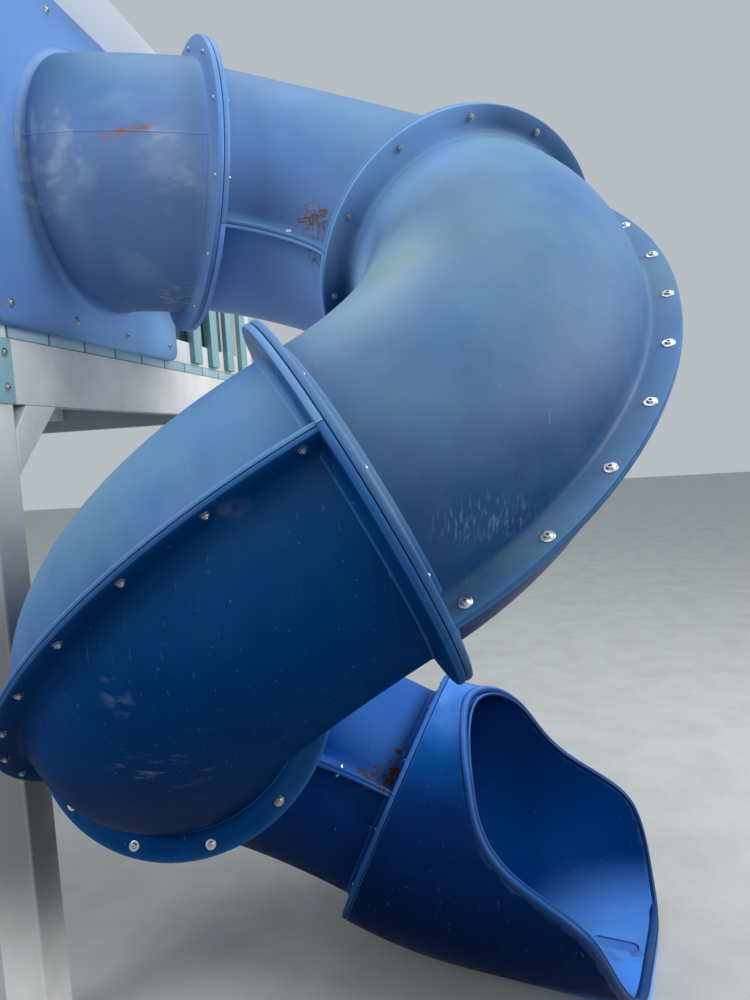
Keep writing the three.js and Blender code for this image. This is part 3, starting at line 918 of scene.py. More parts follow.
def post(name, x, y):
    """A square sleeve with rounded corners under a moulded cap"""
    sleeve = bar((x, y, 0), (x + POST, y + POST, POST_TOP - CAP_LIP), POST_EDGE, 4)
    low = (x - CAP_REACH, y - CAP_REACH, POST_TOP - CAP_SKIRT)
    high = (x + POST + CAP_REACH, y + POST + CAP_REACH, POST_TOP + CAP_LIP)
    cap = bar(low, high)
    open_mesh(cap)
    pick_top()
    bpy.ops.mesh.inset(thickness=CAP_LIP, depth=0.0)
    pull_out((0, 0, CAP_RISE))
    bpy.ops.transform.resize(value=(CAP_PEAK_SHARE, CAP_PEAK_SHARE, 1))
    close_mesh()
    piece = joined([sleeve, cap])
    smooth(piece)
    hand_over(piece, f"{name}_with_cap", CREAM, [name])


def between_posts(side, low, high, thickness):
    """A beam or rail on one side of the tower, flush with the outer faces of the posts"""
    if side in ("front", "back"):
        face = -thickness if side == "front" else BACK_FACE
        return bar((face, BETWEEN_Y[0], low), (face + thickness, BETWEEN_Y[1], high))
    face = NEAR_FACE if side == "near" else FAR_FACE - thickness
    return bar((BETWEEN_X[0], face, low), (BETWEEN_X[1], face + thickness, high))


def sleeves(name, size, sides):
    """Beams or rails of one kind, each a vinyl sleeve"""
    for side in sides:
        piece = between_posts(side, *size)
        smooth(piece)
        hand_over(piece, f"{name}_{side}_sleeve", CREAM, [f"{name}_{side}"])


def joist_lines():
    """Where the joists run under the deck"""
    low, high = BETWEEN_X
    return [low + (high - low) * share for share in JOIST_SHARES]


def joist(number, x):
    """A timber under the deck, from beam to beam"""
    inset = BEAM[2] + GAP
    low = (x - JOIST_WIDTH / 2, NEAR_FACE + inset, BEAM[1] - JOIST_DEPTH)
    high = (x + JOIST_WIDTH / 2, FAR_FACE - inset, BEAM[1])
    piece = bar(low, high, SLIM_EDGE, 2)
    smooth(piece)
    hand_over(piece, f"joist_{number}_timber", CREAM, [f"joist_{number}"])


def board_edges():
    """Where each deck board begins and ends across the deck, and which ones pass the posts"""
    pitch = (BETWEEN_Y[1] - BETWEEN_Y[0]) / DECK_BOARDS
    edge = BOARD_GAP / 2
    rows = [(NEAR_FACE, BETWEEN_Y[0] - edge, BETWEEN_X)]
    for i in range(DECK_BOARDS):
        start = BETWEEN_Y[0] + i * pitch + edge
        rows.append((start, start + pitch - BOARD_GAP, (BACK_FACE, 0)))
    rows.append((BETWEEN_Y[1] + edge, FAR_FACE, BETWEEN_X))
    return rows


def deck():
    """Boards with a slightly raised border, and the screws that hold them"""
    boards = []
    places = []
    for start, end, (back, front) in board_edges():
        board = bar((back, start, DECK[0]), (front, end, DECK[1]), BOARD_EDGE, 2)
        open_mesh(board)
        pick_top()
        bpy.ops.mesh.inset(thickness=BOARD_BORDER, depth=0.0)
        bpy.ops.mesh.inset(thickness=BOARD_SLOPE, depth=-BOARD_DIP)
        close_mesh()
        boards.append(board)
        for x in joist_lines():
            for y in (start + BOARD_SCREW_INSET, end - BOARD_SCREW_INSET):
                places.append(standing(wall_point(x, y, DECK[1] - BOARD_DIP), UP, x + y))
    piece = joined(boards)
    smooth(piece)
    hand_over(piece, "deck_boards", DECK_GREEN, ["deck"])
    hand_over(copies(screw_model, places), "deck_screws", STEEL)


def board_on_wall(turn, start, face, height):
    """A picket in a wall frame turned to one side of the tower, and its screws"""
    width, thickness = PICKET
    high = (face + thickness, start + width, height[1])
    piece = bar((face, start, height[0]), high, SLIM_EDGE, 2)
    outer = face + thickness if face > 0 else face
    way = 1 if face > 0 else -1
    places = []
    low_row = (LOW_RAIL[0] + LOW_RAIL[1]) / 2
    for z in (low_row, TOP_RAIL[0] + RAIL_SCREW_INSET, TOP_RAIL[1] - RAIL_SCREW_INSET):
        for y in (start + PICKET_SCREW_INSET, start + width - PICKET_SCREW_INSET):
            places.append(turn @ standing(wall_point(outer, y, z), (way, 0, 0), y))
    piece.matrix_world = turn
    return settle(piece), places


def railing(name, turn, row, face, height, green):
    """A row of pickets or boards on one side of the tower, with their screws"""
    pieces = []
    places = []
    first, count, pitch = row
    for i in range(count):
        piece, screws = board_on_wall(turn, first + i * pitch, face, height)
        pieces.append(piece)
        places.extend(screws)
    piece = joined(pieces)
    smooth(piece)
    hand_over(piece, f"{name}_pickets", green, [name])
    hand_over(copies(screw_model, places), f"{name}_screws", STEEL)


def turned_to(corner_x, corner_y, quarter):
    """Turns the wall frame's origin to a corner of the tower"""
    there = Matrix.Translation(wall_point(corner_x, corner_y, 0))
    turn = Matrix.Rotation(quarter * math.pi / 2, 4, "Z")
    return there @ turn @ Matrix.Translation(-WALL_ORIGIN)


def railings():
    """The pickets on three sides, and the boards that close the front one from inside"""
    front = Matrix.Identity(4)
    near = turned_to(BETWEEN_X[0], NEAR_FACE, -1)
    far = turned_to(BETWEEN_X[1], FAR_FACE, 1)
    railing("railing_front", front, FRONT_PICKETS, GAP, PICKET_HEIGHT, GREEN)
    railing("railing_near", near, SIDE_PICKETS, GAP, PICKET_HEIGHT, GREEN)
    railing("railing_far", far, SIDE_PICKETS, GAP, PICKET_HEIGHT, GREEN)
    inner_face = -LOW_RAIL[2] - GAP - PICKET[1]
    inner_height = (DECK[1] + INNER_BOARD_LIFT, PICKET_HEIGHT[1])
    railing("inner_boards", front, INNER_BOARDS, inner_face, inner_height, SHADED_GREEN)


def brace(name, face, corner, way):
    """A knee brace cut square to the beam and the post"""
    place = Matrix.Translation(wall_point(face, corner, BEAM[0]))
    piece = sawn([(0, way * y, z) for y, z in BRACE], place, (BRACE_THICKNESS, 0, 0))
    round_edges(piece, SLEEVE_EDGE, 3)
    smooth(piece)
    hand_over(piece, f"{name}_sleeve", CREAM, [name])


def bracket(name, start, way):
    """A flat plate over the joint of beam and post, with four bolts"""
    face = 0 if way > 0 else BACK_FACE
    back, front = sorted(face + way * side for side in BRACKET)
    low = (back, start, BEAM[0])
    high = (front, start + POST + BRACKET_REACH, BEAM[1] - BRACKET_DROP)
    plate = bar(low, high, BRACKET_EDGE, 2)
    smooth(plate)
    hand_over(plate, f"{name}_plate", GREEN, [name])
    places = []
    for along_it in BRACKET_BOLTS:
        y = start + along_it
        for z in (BEAM[0] + BRACKET_BOLT_INSET, BEAM[1] - BRACKET_BOLT_INSET):
            places.append(standing(wall_point(face + way * BRACKET[1], y, z), (way, 0, 0), y))
    hand_over(copies(head_model, places), f"{name}_bolts", STEEL)


def ladder():
    """Two leaning rails cut level at the foot and upright at the head, with rungs between them"""
    depth, width = LADDER_RAIL
    half_tread = LADDER_RUNG[0] / 2
    half_rung = LADDER_RUNG[1] / 2
    reach = LADDER_HALF - width / 2 + RUNG_SINK
    profile = [
        (LADDER_FOOT - depth / 2, 0), (LADDER_FOOT + depth / 2, 0),
        (LADDER_HEAD, LADDER_TOP - depth), (LADDER_HEAD, LADDER_TOP),
        (LADDER_HEAD - LADDER_RAIL_TOP, LADDER_TOP),
    ]
    pieces = []
    for side in (-1, 1):
        place = Matrix.Translation(wall_point(0, LADDER_Y + side * LADDER_HALF - width / 2, 0))
        rail = sawn([(x, 0, z) for x, z in profile], place, (0, width, 0))
        round_edges(rail, SLEEVE_EDGE, 3)
        pieces.append(rail)
    places = []
    for i in range(LADDER_RUNGS):
        share = (i + 1) / (LADDER_RUNGS + 1)
        x = LADDER_FOOT + (LADDER_HEAD - LADDER_FOOT) * share
        z = LADDER_TOP * share
        low = (x - half_tread, LADDER_Y - reach, z - half_rung)
        high = (x + half_tread, LADDER_Y + reach, z + half_rung)
        pieces.append(bar(low, high, RUNG_EDGE))
        for side in (-1, 1):
            spot = wall_point(x, LADDER_Y + side * (LADDER_HALF + width / 2), z)
            places.append(standing(spot, (0, side, 0), share))
    piece = joined(pieces)
    smooth(piece)
    hand_over(piece, "ladder_frame", CREAM, ["ladder"])
    hand_over(copies(head_model, places), "ladder_bolts", STEEL)


# Materials


def new_finish(name):
    """A new material, its node tree, the object's own coordinates and the surface's facts"""
    material = bpy.data.materials.new(name)
    material.use_nodes = True
    tree = material.node_tree
    where = add(tree, "ShaderNodeTexCoord").outputs["Object"]
    surface = add(tree, "ShaderNodeNewGeometry").outputs
    return material, tree, where, surface


def connect(tree, colour, rough, bumps, shine, metallic=0.0):
    """Joins colour, roughness and bumps to the shader"""
    shader = tree.nodes["Principled BSDF"]
    shader.inputs["Metallic"].default_value = metallic
    shader.inputs["Specular IOR Level"].default_value = shine
    tree.links.new(colour, shader.inputs["Base Color"])
    tree.links.new(rough, shader.inputs["Roughness"])
    tree.links.new(bumps.outputs["Normal"], shader.inputs["Normal"])


def add(tree, kind, inputs=None, **settings):
    """Adds a node; an input given as a socket is linked, any other is set"""
    node = tree.nodes.new(kind)
    for name, value in settings.items():
        setattr(node, name, value)
    for name, value in (inputs or {}).items():
        if isinstance(value, bpy.types.NodeSocket):
            tree.links.new(value, node.inputs[name])
        else:
            node.inputs[name].default_value = value
    return node


def noise(tree, where, scale, detail=4, stretch=(1, 1, 1)):
    """Cloudy pattern of the object's own space, from 0 to 1"""
    spread = add(tree, "ShaderNodeMapping", {"Vector": where, "Scale": stretch})
    inputs = {"Vector": spread.outputs["Vector"], "Scale": scale, "Detail": detail}
    return add(tree, "ShaderNodeTexNoise", inputs).outputs["Fac"]


def along(tree, vector, axis):
    """One of a vector's X, Y and Z"""
    return add(tree, "ShaderNodeSeparateXYZ", {"Vector": vector}).outputs[axis]


def span(tree, value, low, high, to_low=0.0, to_high=1.0):
    """Maps a range of values smoothly to another"""
    inputs = {"Value": value, "From Min": low, "From Max": high, "To Min": to_low, "To Max": to_high}
    return add(tree, "ShaderNodeMapRange", inputs, interpolation_type="SMOOTHSTEP").outputs["Result"]


def sums(tree, operation, a, b):
    """Adds or multiplies two values"""
    return add(tree, "ShaderNodeMath", {0: a, 1: b}, operation=operation).outputs["Value"]


def blend(tree, factor, under, over, kind="MIX"):
    """Lays one colour over another; each is a socket or three numbers"""
    inputs = {"Fac": factor, "Color1": under, "Color2": over}
    for name in ("Color1", "Color2"):
        if isinstance(inputs[name], tuple):
            inputs[name] = (*inputs[name], 1)
    return add(tree, "ShaderNodeMixRGB", inputs, blend_type=kind).outputs["Color"]


def shades(tree, value, stops):
    """Turns a value to a colour by stops of place and colour"""
    node = add(tree, "ShaderNodeValToRGB", {"Fac": value})
    ramp = node.color_ramp
    while len(ramp.elements) < len(stops):
        ramp.elements.new(0.5)
    for element, (place, colour) in zip(ramp.elements, stops):
        element.position = place
        element.color = (*colour, 1)
    return node.outputs["Color"]


def near_spot(tree, where, spot, size):
    """1 near a spot of the object, falling to 0 at the given distances along X, Y and Z"""
    offset = add(tree, "ShaderNodeVectorMath", {0: where, 1: spot}, operation="SUBTRACT")
    inputs = {0: offset.outputs["Vector"], 1: size}
    scaled = add(tree, "ShaderNodeVectorMath", inputs, operation="DIVIDE")
    away = add(tree, "ShaderNodeVectorMath", {0: scaled.outputs["Vector"]}, operation="LENGTH")
    return span(tree, away.outputs["Value"], 0.35, 1.0, 1.0, 0.0)


def marked(tree, where, colour, marks):
    """Adds patches of scuffs or dirt: spot, size, colour, strength, grain, stretch"""
    for spot, size, tint, strength, grain, stretch in marks:
        speckle = span(tree, noise(tree, where, grain, 5, stretch), 0.50, 0.66, 0.0, strength)
        factor = sums(tree, "MULTIPLY", speckle, near_spot(tree, where, spot, size))
        colour = blend(tree, factor, colour, tint)
    return colour


def light_and_shade_patches(tree, where, colour, patches):
    """Paints light and shade into a colour softly around each spot: spot, size, colour, strength"""
    for spot, size, tint, strength in patches:
        near = sums(tree, "MULTIPLY", near_spot(tree, where, spot, size), strength)
        colour = blend(tree, near, colour, tint)
    return colour


def fade_and_painted_light(tree, where, up, cloud, clouds):
    """How much a face has paled, from 0 to 1: by its slope, as sun bleaching with painted light from
    above; by its height, as painted shade lower down; and in patches
    """
    # Sun bleaching with painted light from above: faces that look up are paler
    fade_and_light = span(tree, up, -1.0, 1.0, 0.0, SLOPE_SHARE_OF_TONE)
    # Painted shade: lower faces darker, higher faces paler
    by_height = span(tree, along(tree, where, "Z"), -0.2, 2.4, 0.0, 1 - SLOPE_SHARE_OF_TONE)
    patches = span(tree, cloud, 0.30, 0.70, -clouds, clouds)
    mottle = span(tree, noise(tree, where, 15.0, 6), 0.35, 0.65, -0.4 * clouds, 0.4 * clouds)
    for part in (by_height, patches, mottle):
        fade_and_light = sums(tree, "ADD", fade_and_light, part)
    return fade_and_light


def weather_traces(tree, where, colour):
    """Rain runs, pale specks and fine scratches down the plastic"""
    runs = span(tree, noise(tree, where, 7.0, 4, (1, 1, 0.10)), 0.50, 0.72, 0.0, 0.16)
    colour = blend(tree, runs, colour, RUN_SHADE, "MULTIPLY")
    specks = span(tree, noise(tree, where, 160.0, 2), 0.70, 0.78, 0.0, 0.20)
    colour = blend(tree, specks, colour, SPECK_BLUE)
    scratches = span(tree, noise(tree, where, 26.0, 3, (5.0, 5.0, 0.35)), 0.69, 0.76, 0.0, 0.13)
    return blend(tree, scratches, colour, SCRATCH_BLUE)


def plastic_bumps(tree, where):
    """A pebbled skin over long soft waves"""
    inputs = {"Height": noise(tree, where, 420.0, 2), "Strength": 0.10, "Distance": 0.0012}
    skin = add(tree, "ShaderNodeBump", inputs).outputs["Normal"]
    inputs = {"Height": noise(tree, where, 5.0, 2), "Strength": 0.25, "Distance": 0.010, "Normal": skin}
    return add(tree, "ShaderNodeBump", inputs)


def moulded_plastic(
        name, stops, bloom, marks=(), painted_light_and_shade=(), gloss=0.42, shine=0.16, clouds=0.05, wear=0.5):
    """Blue plastic: paler on top and deep underneath, partly from sun bleaching and partly as painted
    light above and painted shade below and in creases; scuffed and chalky
    """
    material, tree, where, surface = new_finish(name)
    up = along(tree, surface["Normal"], "Z")
    cloud = noise(tree, where, 2.4, 6)
    # Sun bleaching with painted light and shade, turned to a colour by the stops
    colour = shades(tree, fade_and_painted_light(tree, where, up, cloud, clouds), stops)
    # Soft patches of painted light and shade
    colour = light_and_shade_patches(tree, where, colour, painted_light_and_shade)
    chalk = span(tree, noise(tree, where, 3.1, 7, (1, 1, 0.6)), 0.38, 0.64, 0.0, bloom)
    chalk = sums(tree, "MULTIPLY", chalk, span(tree, up, -0.1, 0.7))
    colour = blend(tree, chalk, colour, CHALK)
    colour = weather_traces(tree, where, colour)
    worn = span(tree, surface["Pointiness"], 0.512, 0.56, 0.0, wear)
    colour = blend(tree, worn, colour, RUBBED_BLUE, "ADD")
    # Painted shade in creases and corners
    crevice_shade = span(tree, surface["Pointiness"], 0.44, 0.492, 0.35, 0.0)
    colour = blend(tree, crevice_shade, colour, CREVICE_SHADE_BLUE, "MULTIPLY")
    colour = marked(tree, where, colour, marks)
    rough = sums(tree, "ADD", span(tree, cloud, 0.3, 0.7, gloss - 0.07, gloss + 0.10), chalk)
    connect(tree, colour, rough, plastic_bumps(tree, where), shine)
    return material


def under_deck(tree, where, surface):
    """1 on the faces that look into the space under the deck, 0 elsewhere; these faces get painted
    shade
    """
    inwards = add(tree, "ShaderNodeVectorMath", {0: TOWER_CENTRE, 1: where}, operation="SUBTRACT")
    inputs = {0: inwards.outputs["Vector"], 1: surface["Normal"]}
    facing_in = add(tree, "ShaderNodeVectorMath", inputs, operation="DOT_PRODUCT").outputs["Value"]
    height = along(tree, where, "Z")
    shaded = sums(tree, "MULTIPLY", span(tree, facing_in, 0.1, 0.5), span(tree, height, 1.2, 1.5))
    return sums(tree, "MULTIPLY", shaded, span(tree, height, 1.84, 1.87, 1.0, 0.0))


def weathered(name, clean, dirty, roughness, patches=(), metallic=0.0, painted_front_light=None):
    """A plain material with grime, worn edges and a fine bump; painted shade under the deck, in creases
    and in patches, and painted light on faces that look along +X when a colour for them is given
    """
    material, tree, where, surface = new_finish(name)
    colour = blend(tree, span(tree, noise(tree, where, 4.5, 7), 0.36, 0.72), clean, dirty)
    runs = span(tree, noise(tree, where, 16.0, 4, (1, 1, 0.12)), 0.50, 0.72, 0.0, 0.35)
    colour = blend(tree, runs, colour, dirty)
    # Patches of painted shade
    colour = light_and_shade_patches(tree, where, colour, patches)
    # Painted light: faces that look along +X take a paler colour, as if lit from that side
    if painted_front_light:
        front = along(tree, surface["Normal"], "X")
        colour = blend(tree, span(tree, front, 0.2, 0.9), colour, painted_front_light)
    # Painted shade on faces that look into the space under the deck
    colour = blend(tree, under_deck(tree, where, surface), colour, DECK_SHADE, "MULTIPLY")
    worn = span(tree, surface["Pointiness"], 0.515, 0.58, 0.0, 0.5)
    colour = blend(tree, worn, colour, tuple(min(1, WORN_LIFT * c) for c in clean))
    # Painted shade in creases and corners
    crevice_shade = span(tree, surface["Pointiness"], 0.42, 0.49, 0.6, 0.0)
    colour = blend(tree, crevice_shade, colour, CREVICE_GREY, "MULTIPLY")
    smoothest, roughest = roughness * 0.75, min(1, roughness * 1.25)
    rough = span(tree, noise(tree, where, 9.0, 5), 0.3, 0.7, smoothest, roughest)
    inputs = {"Height": noise(tree, where, 60.0, 3), "Strength": 0.18, "Distance": 0.0015}
    connect(tree, colour, rough, add(tree, "ShaderNodeBump", inputs), 0.40, metallic)
    return material


# Colours are linear. What the weather leaves on the blue plastic, and the painted shade in its creases
CHALK = (0.200, 0.310, 0.270)
RUN_SHADE = (0.55, 0.62, 0.72)
SPECK_BLUE = (0.30, 0.40, 0.52)
SCRATCH_BLUE = (0.40, 0.48, 0.58)
RUBBED_BLUE = (0.05, 0.12, 0.26)
# Painted shade in creases and corners
CREVICE_SHADE_BLUE = (0.25, 0.28, 0.34)
PALE = (0.42, 0.52, 0.64)
RUST = (0.33, 0.13, 0.05)
DIRT = (0.075, 0.045, 0.030)
NEEDLES = (0.130, 0.070, 0.055)
# Shade in the corners of the other materials, and on what looks into the space under the deck
CREVICE_GREY = (0.35, 0.34, 0.32)
DECK_SHADE = (0.08, 0.15, 0.25)
# How much paler worn edges are
WORN_LIFT = 1.35
# Middle of the space under the deck
TOWER_CENTRE = tuple(wall_point(-1.03, 0.61, 0.9))
# How much of the fade and painted light comes from the slope of a face; the rest, painted shade lower
# down, comes from its height
SLOPE_SHARE_OF_TONE = 0.50

# Stops of each blue: how far it has faded with painted light, colour. The dark stops are painted shade
# and the pale ones painted light, tuned for each copy where it is used
SUN_AND_SHADE_BLUES = [
    (0.12, (0.000, 0.010, 0.050)), (0.30, (0.000, 0.018, 0.090)), (0.43, (0.001, 0.034, 0.125)),
    (0.52, (0.012, 0.058, 0.156)), (0.63, (0.032, 0.086, 0.206)), (0.72, (0.046, 0.116, 0.258)),
    (1.00, (0.084, 0.190, 0.380)),
]
LIT_BLUES = [
    (0.30, (0.000, 0.022, 0.110)), (0.52, (0.026, 0.095, 0.260)), (0.63, (0.060, 0.165, 0.390)),
    (0.76, (0.098, 0.226, 0.450)), (1.00, (0.110, 0.245, 0.480)),
]
SHADED_BLUES = [
    (0.12, (0.000, 0.014, 0.062)), (0.27, (0.000, 0.022, 0.096)), (0.42, (0.000, 0.036, 0.150)),
    (0.65, (0.006, 0.060, 0.200)), (1.00, (0.040, 0.120, 0.300)),
]
# Painted haze: paler, greyer blues for the hood and the upper half of the first elbow, standing in for
# light from a bright sky
HAZE_LIT_BLUES = [
    (0.20, (0.070, 0.150, 0.330)), (0.48, (0.095, 0.190, 0.390)), (0.63, (0.100, 0.195, 0.400)),
    (0.80, (0.105, 0.220, 0.480)), (0.90, (0.085, 0.200, 0.410)), (1.00, (0.080, 0.190, 0.370)),
]
# The last elbow: stops paler than the others, as painted light in the shade it sits in
LOW_BLUES = [
    (0.10, (0.000, 0.014, 0.075)), (0.25, (0.000, 0.022, 0.130)), (0.40, (0.000, 0.042, 0.210)),
    (0.55, (0.018, 0.100, 0.380)), (0.65, (0.028, 0.122, 0.450)), (1.00, (0.040, 0.140, 0.500)),
]
EXIT_BLUES = [
    (0.14, (0.000, 0.009, 0.050)), (0.24, (0.000, 0.011, 0.056)), (0.41, (0.000, 0.020, 0.120)),
    (0.53, (0.000, 0.034, 0.185)), (0.60, (0.000, 0.085, 0.340)), (0.63, (0.020, 0.145, 0.530)),
    (0.66, (0.120, 0.320, 0.900)), (1.00, (0.120, 0.320, 0.900)),
]
RIM_BLUES = [
    (0.20, (0.000, 0.014, 0.066)), (0.46, (0.000, 0.030, 0.135)), (0.58, (0.002, 0.066, 0.280)),
    (0.66, (0.080, 0.240, 0.740)),
]
# Painted light from below: paler blues for the lower half of the first elbow, which would otherwise lie
# in shade
BLUES_LIT_FROM_BELOW = [
    (0.40, (0.190, 0.350, 0.680)), (0.70, (0.150, 0.300, 0.600)), (1.00, (0.100, 0.200, 0.420)),
]

# Scuffs, rust, dirt and chalk, some of the chalk a painted highlight: spot, size, colour, strength,
# grain, stretch of the grain
HOOD_MARKS = [
    ((0.860, -0.560, 2.150), (0.330, 0.260, 0.330), PALE, 0.26, 4.0, (1, 1, 1.4)),
    ((0.680, -0.560, 2.260), (0.160, 0.140, 0.170), PALE, 0.42, 9.0, (1.5, 1, 1.5)),
    ((0.890, -0.586, 2.284), (0.130, 0.060, 0.011), RUST, 0.95, 14.0, (1, 1, 1)),
    ((0.880, -0.586, 2.268), (0.070, 0.060, 0.034), RUST, 0.55, 40.0, (1, 1, 0.3)),
    ((0.640, -0.550, 2.345), (0.150, 0.110, 0.070), PALE, 0.50, 15.0, (1.8, 1, 0.8)),
    ((0.620, -0.537, 2.200), (0.120, 0.110, 0.120), PALE, 0.55, 17.0, (1, 1, 1.8)),
    ((0.950, -0.586, 2.220), (0.120, 0.080, 0.090), PALE, 0.62, 9.0, (1, 1, 1.8)),
    ((1.010, -0.574, 2.155), (0.070, 0.080, 0.110), PALE, 0.30, 12.0, (1, 1, 1.8)),
    ((0.920, -0.400, 1.915), (0.120, 0.150, 0.040), PALE, 0.45, 60.0, (0.5, 3, 1)),
]
NEEDLE_MARKS = [
    ((1.325, -0.512, 2.030), (0.050, 0.070, 0.080), NEEDLES, 1.7, 60.0, (2.2, 2.2, 0.5)),
    ((1.320, -0.512, 2.055), (0.060, 0.070, 0.045), NEEDLES, 1.7, 60.0, (0.5, 0.5, 2.4)),
    ((1.322, -0.498, 1.975), (0.040, 0.060, 0.070), NEEDLES, 1.7, 70.0, (2.2, 2.2, 0.5)),
]
CHALK_AND_HIGHLIGHT_MARKS = [
    # Chalky bloom on the upper side of the second elbow, laid on thick as a painted highlight
    ((1.500, -1.060, 1.720), (0.260, 0.260, 0.220), CHALK, 0.70, 2.2, (1, 1, 1)),
    ((1.620, -1.000, 1.820), (0.320, 0.320, 0.200), CHALK, 0.60, 2.6, (1, 1, 1)),
    ((1.460, -1.100, 1.680), (0.200, 0.200, 0.150), CHALK, 1.10, 6.0, (1, 1, 1)),
    ((1.715, -1.206, 1.370), (0.140, 0.110, 0.050), PALE, 0.17, 90.0, (2.2, 2.2, 0.34)),
]
SCUFF_MARKS = [
    ((1.150, -1.240, 0.960), (0.130, 0.110, 0.070), PALE, 0.13, 26.0, (0.7, 0.7, 2.2)),
    ((1.120, -1.280, 1.130), (0.040, 0.090, 0.060), PALE, 0.10, 24.0, (1, 1, 2)),
    ((1.330, -1.270, 1.420), (0.060, 0.090, 0.040), PALE, 0.12, 18.0, (1, 1, 1)),
]
LITTER_MARKS = [
    ((1.375, -0.440, 0.602), (0.095, 0.085, 0.042), DIRT, 4.0, 46.0, (1, 1, 1)),
    ((1.385, -0.440, 0.596), (0.090, 0.085, 0.030), DIRT, 4.0, 70.0, (1, 1, 1)),
    ((1.426, -0.390, 0.630), (0.035, 0.060, 0.075), DIRT, 4.0, 50.0, (1, 1, 1)),
]
EXIT_MARKS = [
    ((2.030, -0.330, 0.055), (0.110, 0.040, 0.012), DIRT, 0.50, 26.0, (1, 1, 1)),
]

# Painted light and shade, laid over a colour in wide soft patches: spot, size, colour, strength
PANEL_PAINTED_LIGHT = [
    # Painted light on the lower part of the panel, where the hood meets it, and on the hood's near side
    ((0.563, -0.020, 1.920), (0.100, 0.560, 0.170), (0.300, 0.600, 1.000), 0.90),
    ((0.580, -0.190, 2.250), (0.022, 0.600, 0.600), (0.300, 0.500, 0.900), 0.85),
    ((0.650, -0.500, 2.180), (0.130, 0.260, 0.380), (0.180, 0.300, 0.470), 0.80),
]
EXIT_PAINTED_LIGHT = [
    # Painted light inside the chute and on the floor of the scoop
    ((1.820, 0.100, 0.380), (0.500, 0.300, 0.450), (0.000, 0.056, 0.250), 1.0),
    ((2.090, -0.300, 0.020), (0.460, 0.460, 0.200), (0.072, 0.235, 0.700), 1.0),
    ((2.080, -0.420, 0.030), (0.180, 0.170, 0.080), (0.080, 0.290, 0.950), 1.0),
]
RING_PAINTED_LIGHT_AND_SHADE = [
    # Painted light on the second ring's flange and the neck of the second elbow beside it
    ((1.540, -0.660, 2.160), (0.300, 0.260, 0.300), (0.170, 0.330, 0.620), 0.80),
    ((1.470, -0.960, 1.800), (0.240, 0.320, 0.290), (0.280, 0.430, 0.500), 0.62),
    ((1.400, -0.690, 1.840), (0.130, 0.120, 0.230), (0.320, 0.520, 0.820), 0.75),
    # Painted shade on the lower part of the second elbow's outer seam flange
    ((1.730, -1.250, 1.260), (0.320, 0.150, 0.220), (0.012, 0.070, 0.190), 0.75),
]
VINYL_PAINTED_SHADE = [
    # Painted shadow on the front near post below the slide
    ((0.490, -0.680, 0.800), (0.500, 0.500, 0.750), (0.030, 0.030, 0.030), 0.97),
    # Painted bluish shade on the front top rail
    ((0.540, -0.150, 2.800), (0.110, 1.500, 0.600), (0.230, 0.300, 0.420), 0.97),
]

BLUE = moulded_plastic("blue_plastic_fade_and_painted_light", SUN_AND_SHADE_BLUES, 0.32, CHALK_AND_HIGHLIGHT_MARKS, RING_PAINTED_LIGHT_AND_SHADE)
LIT_BLUE = moulded_plastic("lit_blue_plastic", LIT_BLUES, 0.30)
SHADED_BLUE = moulded_plastic("shaded_blue_plastic", SHADED_BLUES, 0.10, SCUFF_MARKS, shine=0.01)
HAZE_LIT_BLUE = moulded_plastic("haze_lit_blue_plastic", HAZE_LIT_BLUES, 0.10, NEEDLE_MARKS)
BLUE_LIT_FROM_BELOW = moulded_plastic("blue_plastic_lit_from_below", BLUES_LIT_FROM_BELOW, 0.10, NEEDLE_MARKS)
HOOD_BLUE = moulded_plastic("hood_blue_plastic", HAZE_LIT_BLUES, 0.10, HOOD_MARKS, PANEL_PAINTED_LIGHT)
LOW_BLUE = moulded_plastic("low_blue_plastic", LOW_BLUES, 0.05, LITTER_MARKS, shine=0.03, clouds=0.02)
EXIT_BLUE = moulded_plastic(
    "deep_blue_plastic", EXIT_BLUES, 0.02, EXIT_MARKS, EXIT_PAINTED_LIGHT, gloss=0.36, shine=0.02, clouds=0.01)
RIM_BLUE = moulded_plastic(
    "rim_blue_plastic", RIM_BLUES, 0.02, EXIT_MARKS, gloss=0.34, clouds=0.01, wear=0.09)
# The upper and the lower half of each elbow, each half with its own copy of the blue: on the first,
# painted haze above and painted light from below; on the third, painted light above and painted shade
# below; on the fourth, paler stops as painted light in its shade
ELBOW_BLUES = [(HAZE_LIT_BLUE, BLUE_LIT_FROM_BELOW), (BLUE, BLUE), (LIT_BLUE, SHADED_BLUE), (LOW_BLUE, LOW_BLUE)]

STEEL = weathered("stainless_steel", (0.55, 0.56, 0.58), (0.30, 0.29, 0.27), 0.34, metallic=1.0)
DULL_STEEL = weathered("dull_steel", (0.32, 0.36, 0.42), (0.18, 0.19, 0.20), 0.45, metallic=1.0)
CREAM = weathered("cream_vinyl", (0.88, 0.87, 0.83), (0.68, 0.66, 0.62), 0.38, VINYL_PAINTED_SHADE)
# Faces that look along +X take the paler colour: painted light from that side
GREEN = weathered(
    "dark_green_plastic", (0.110, 0.230, 0.260), (0.070, 0.150, 0.170), 0.42,
    painted_front_light=(0.400, 0.670, 0.730))
# The deck boards: paler than the pickets' green, as painted light on the deck's front edge, which lies
# in shade under the panel
DECK_GREEN = weathered(
    "deck_green_plastic", (0.200, 0.330, 0.360), (0.130, 0.220, 0.240), 0.42,
    painted_front_light=(0.500, 0.700, 0.760))
# The boards inside the front railing: a darker copy of the green, as painted shade behind the pickets
SHADED_GREEN = weathered("shaded_green_plastic", (0.040, 0.120, 0.145), (0.022, 0.075, 0.090), 0.45)
FLOOR = weathered("pale_floor", (0.52, 0.525, 0.52), (0.47, 0.475, 0.47), 0.9)


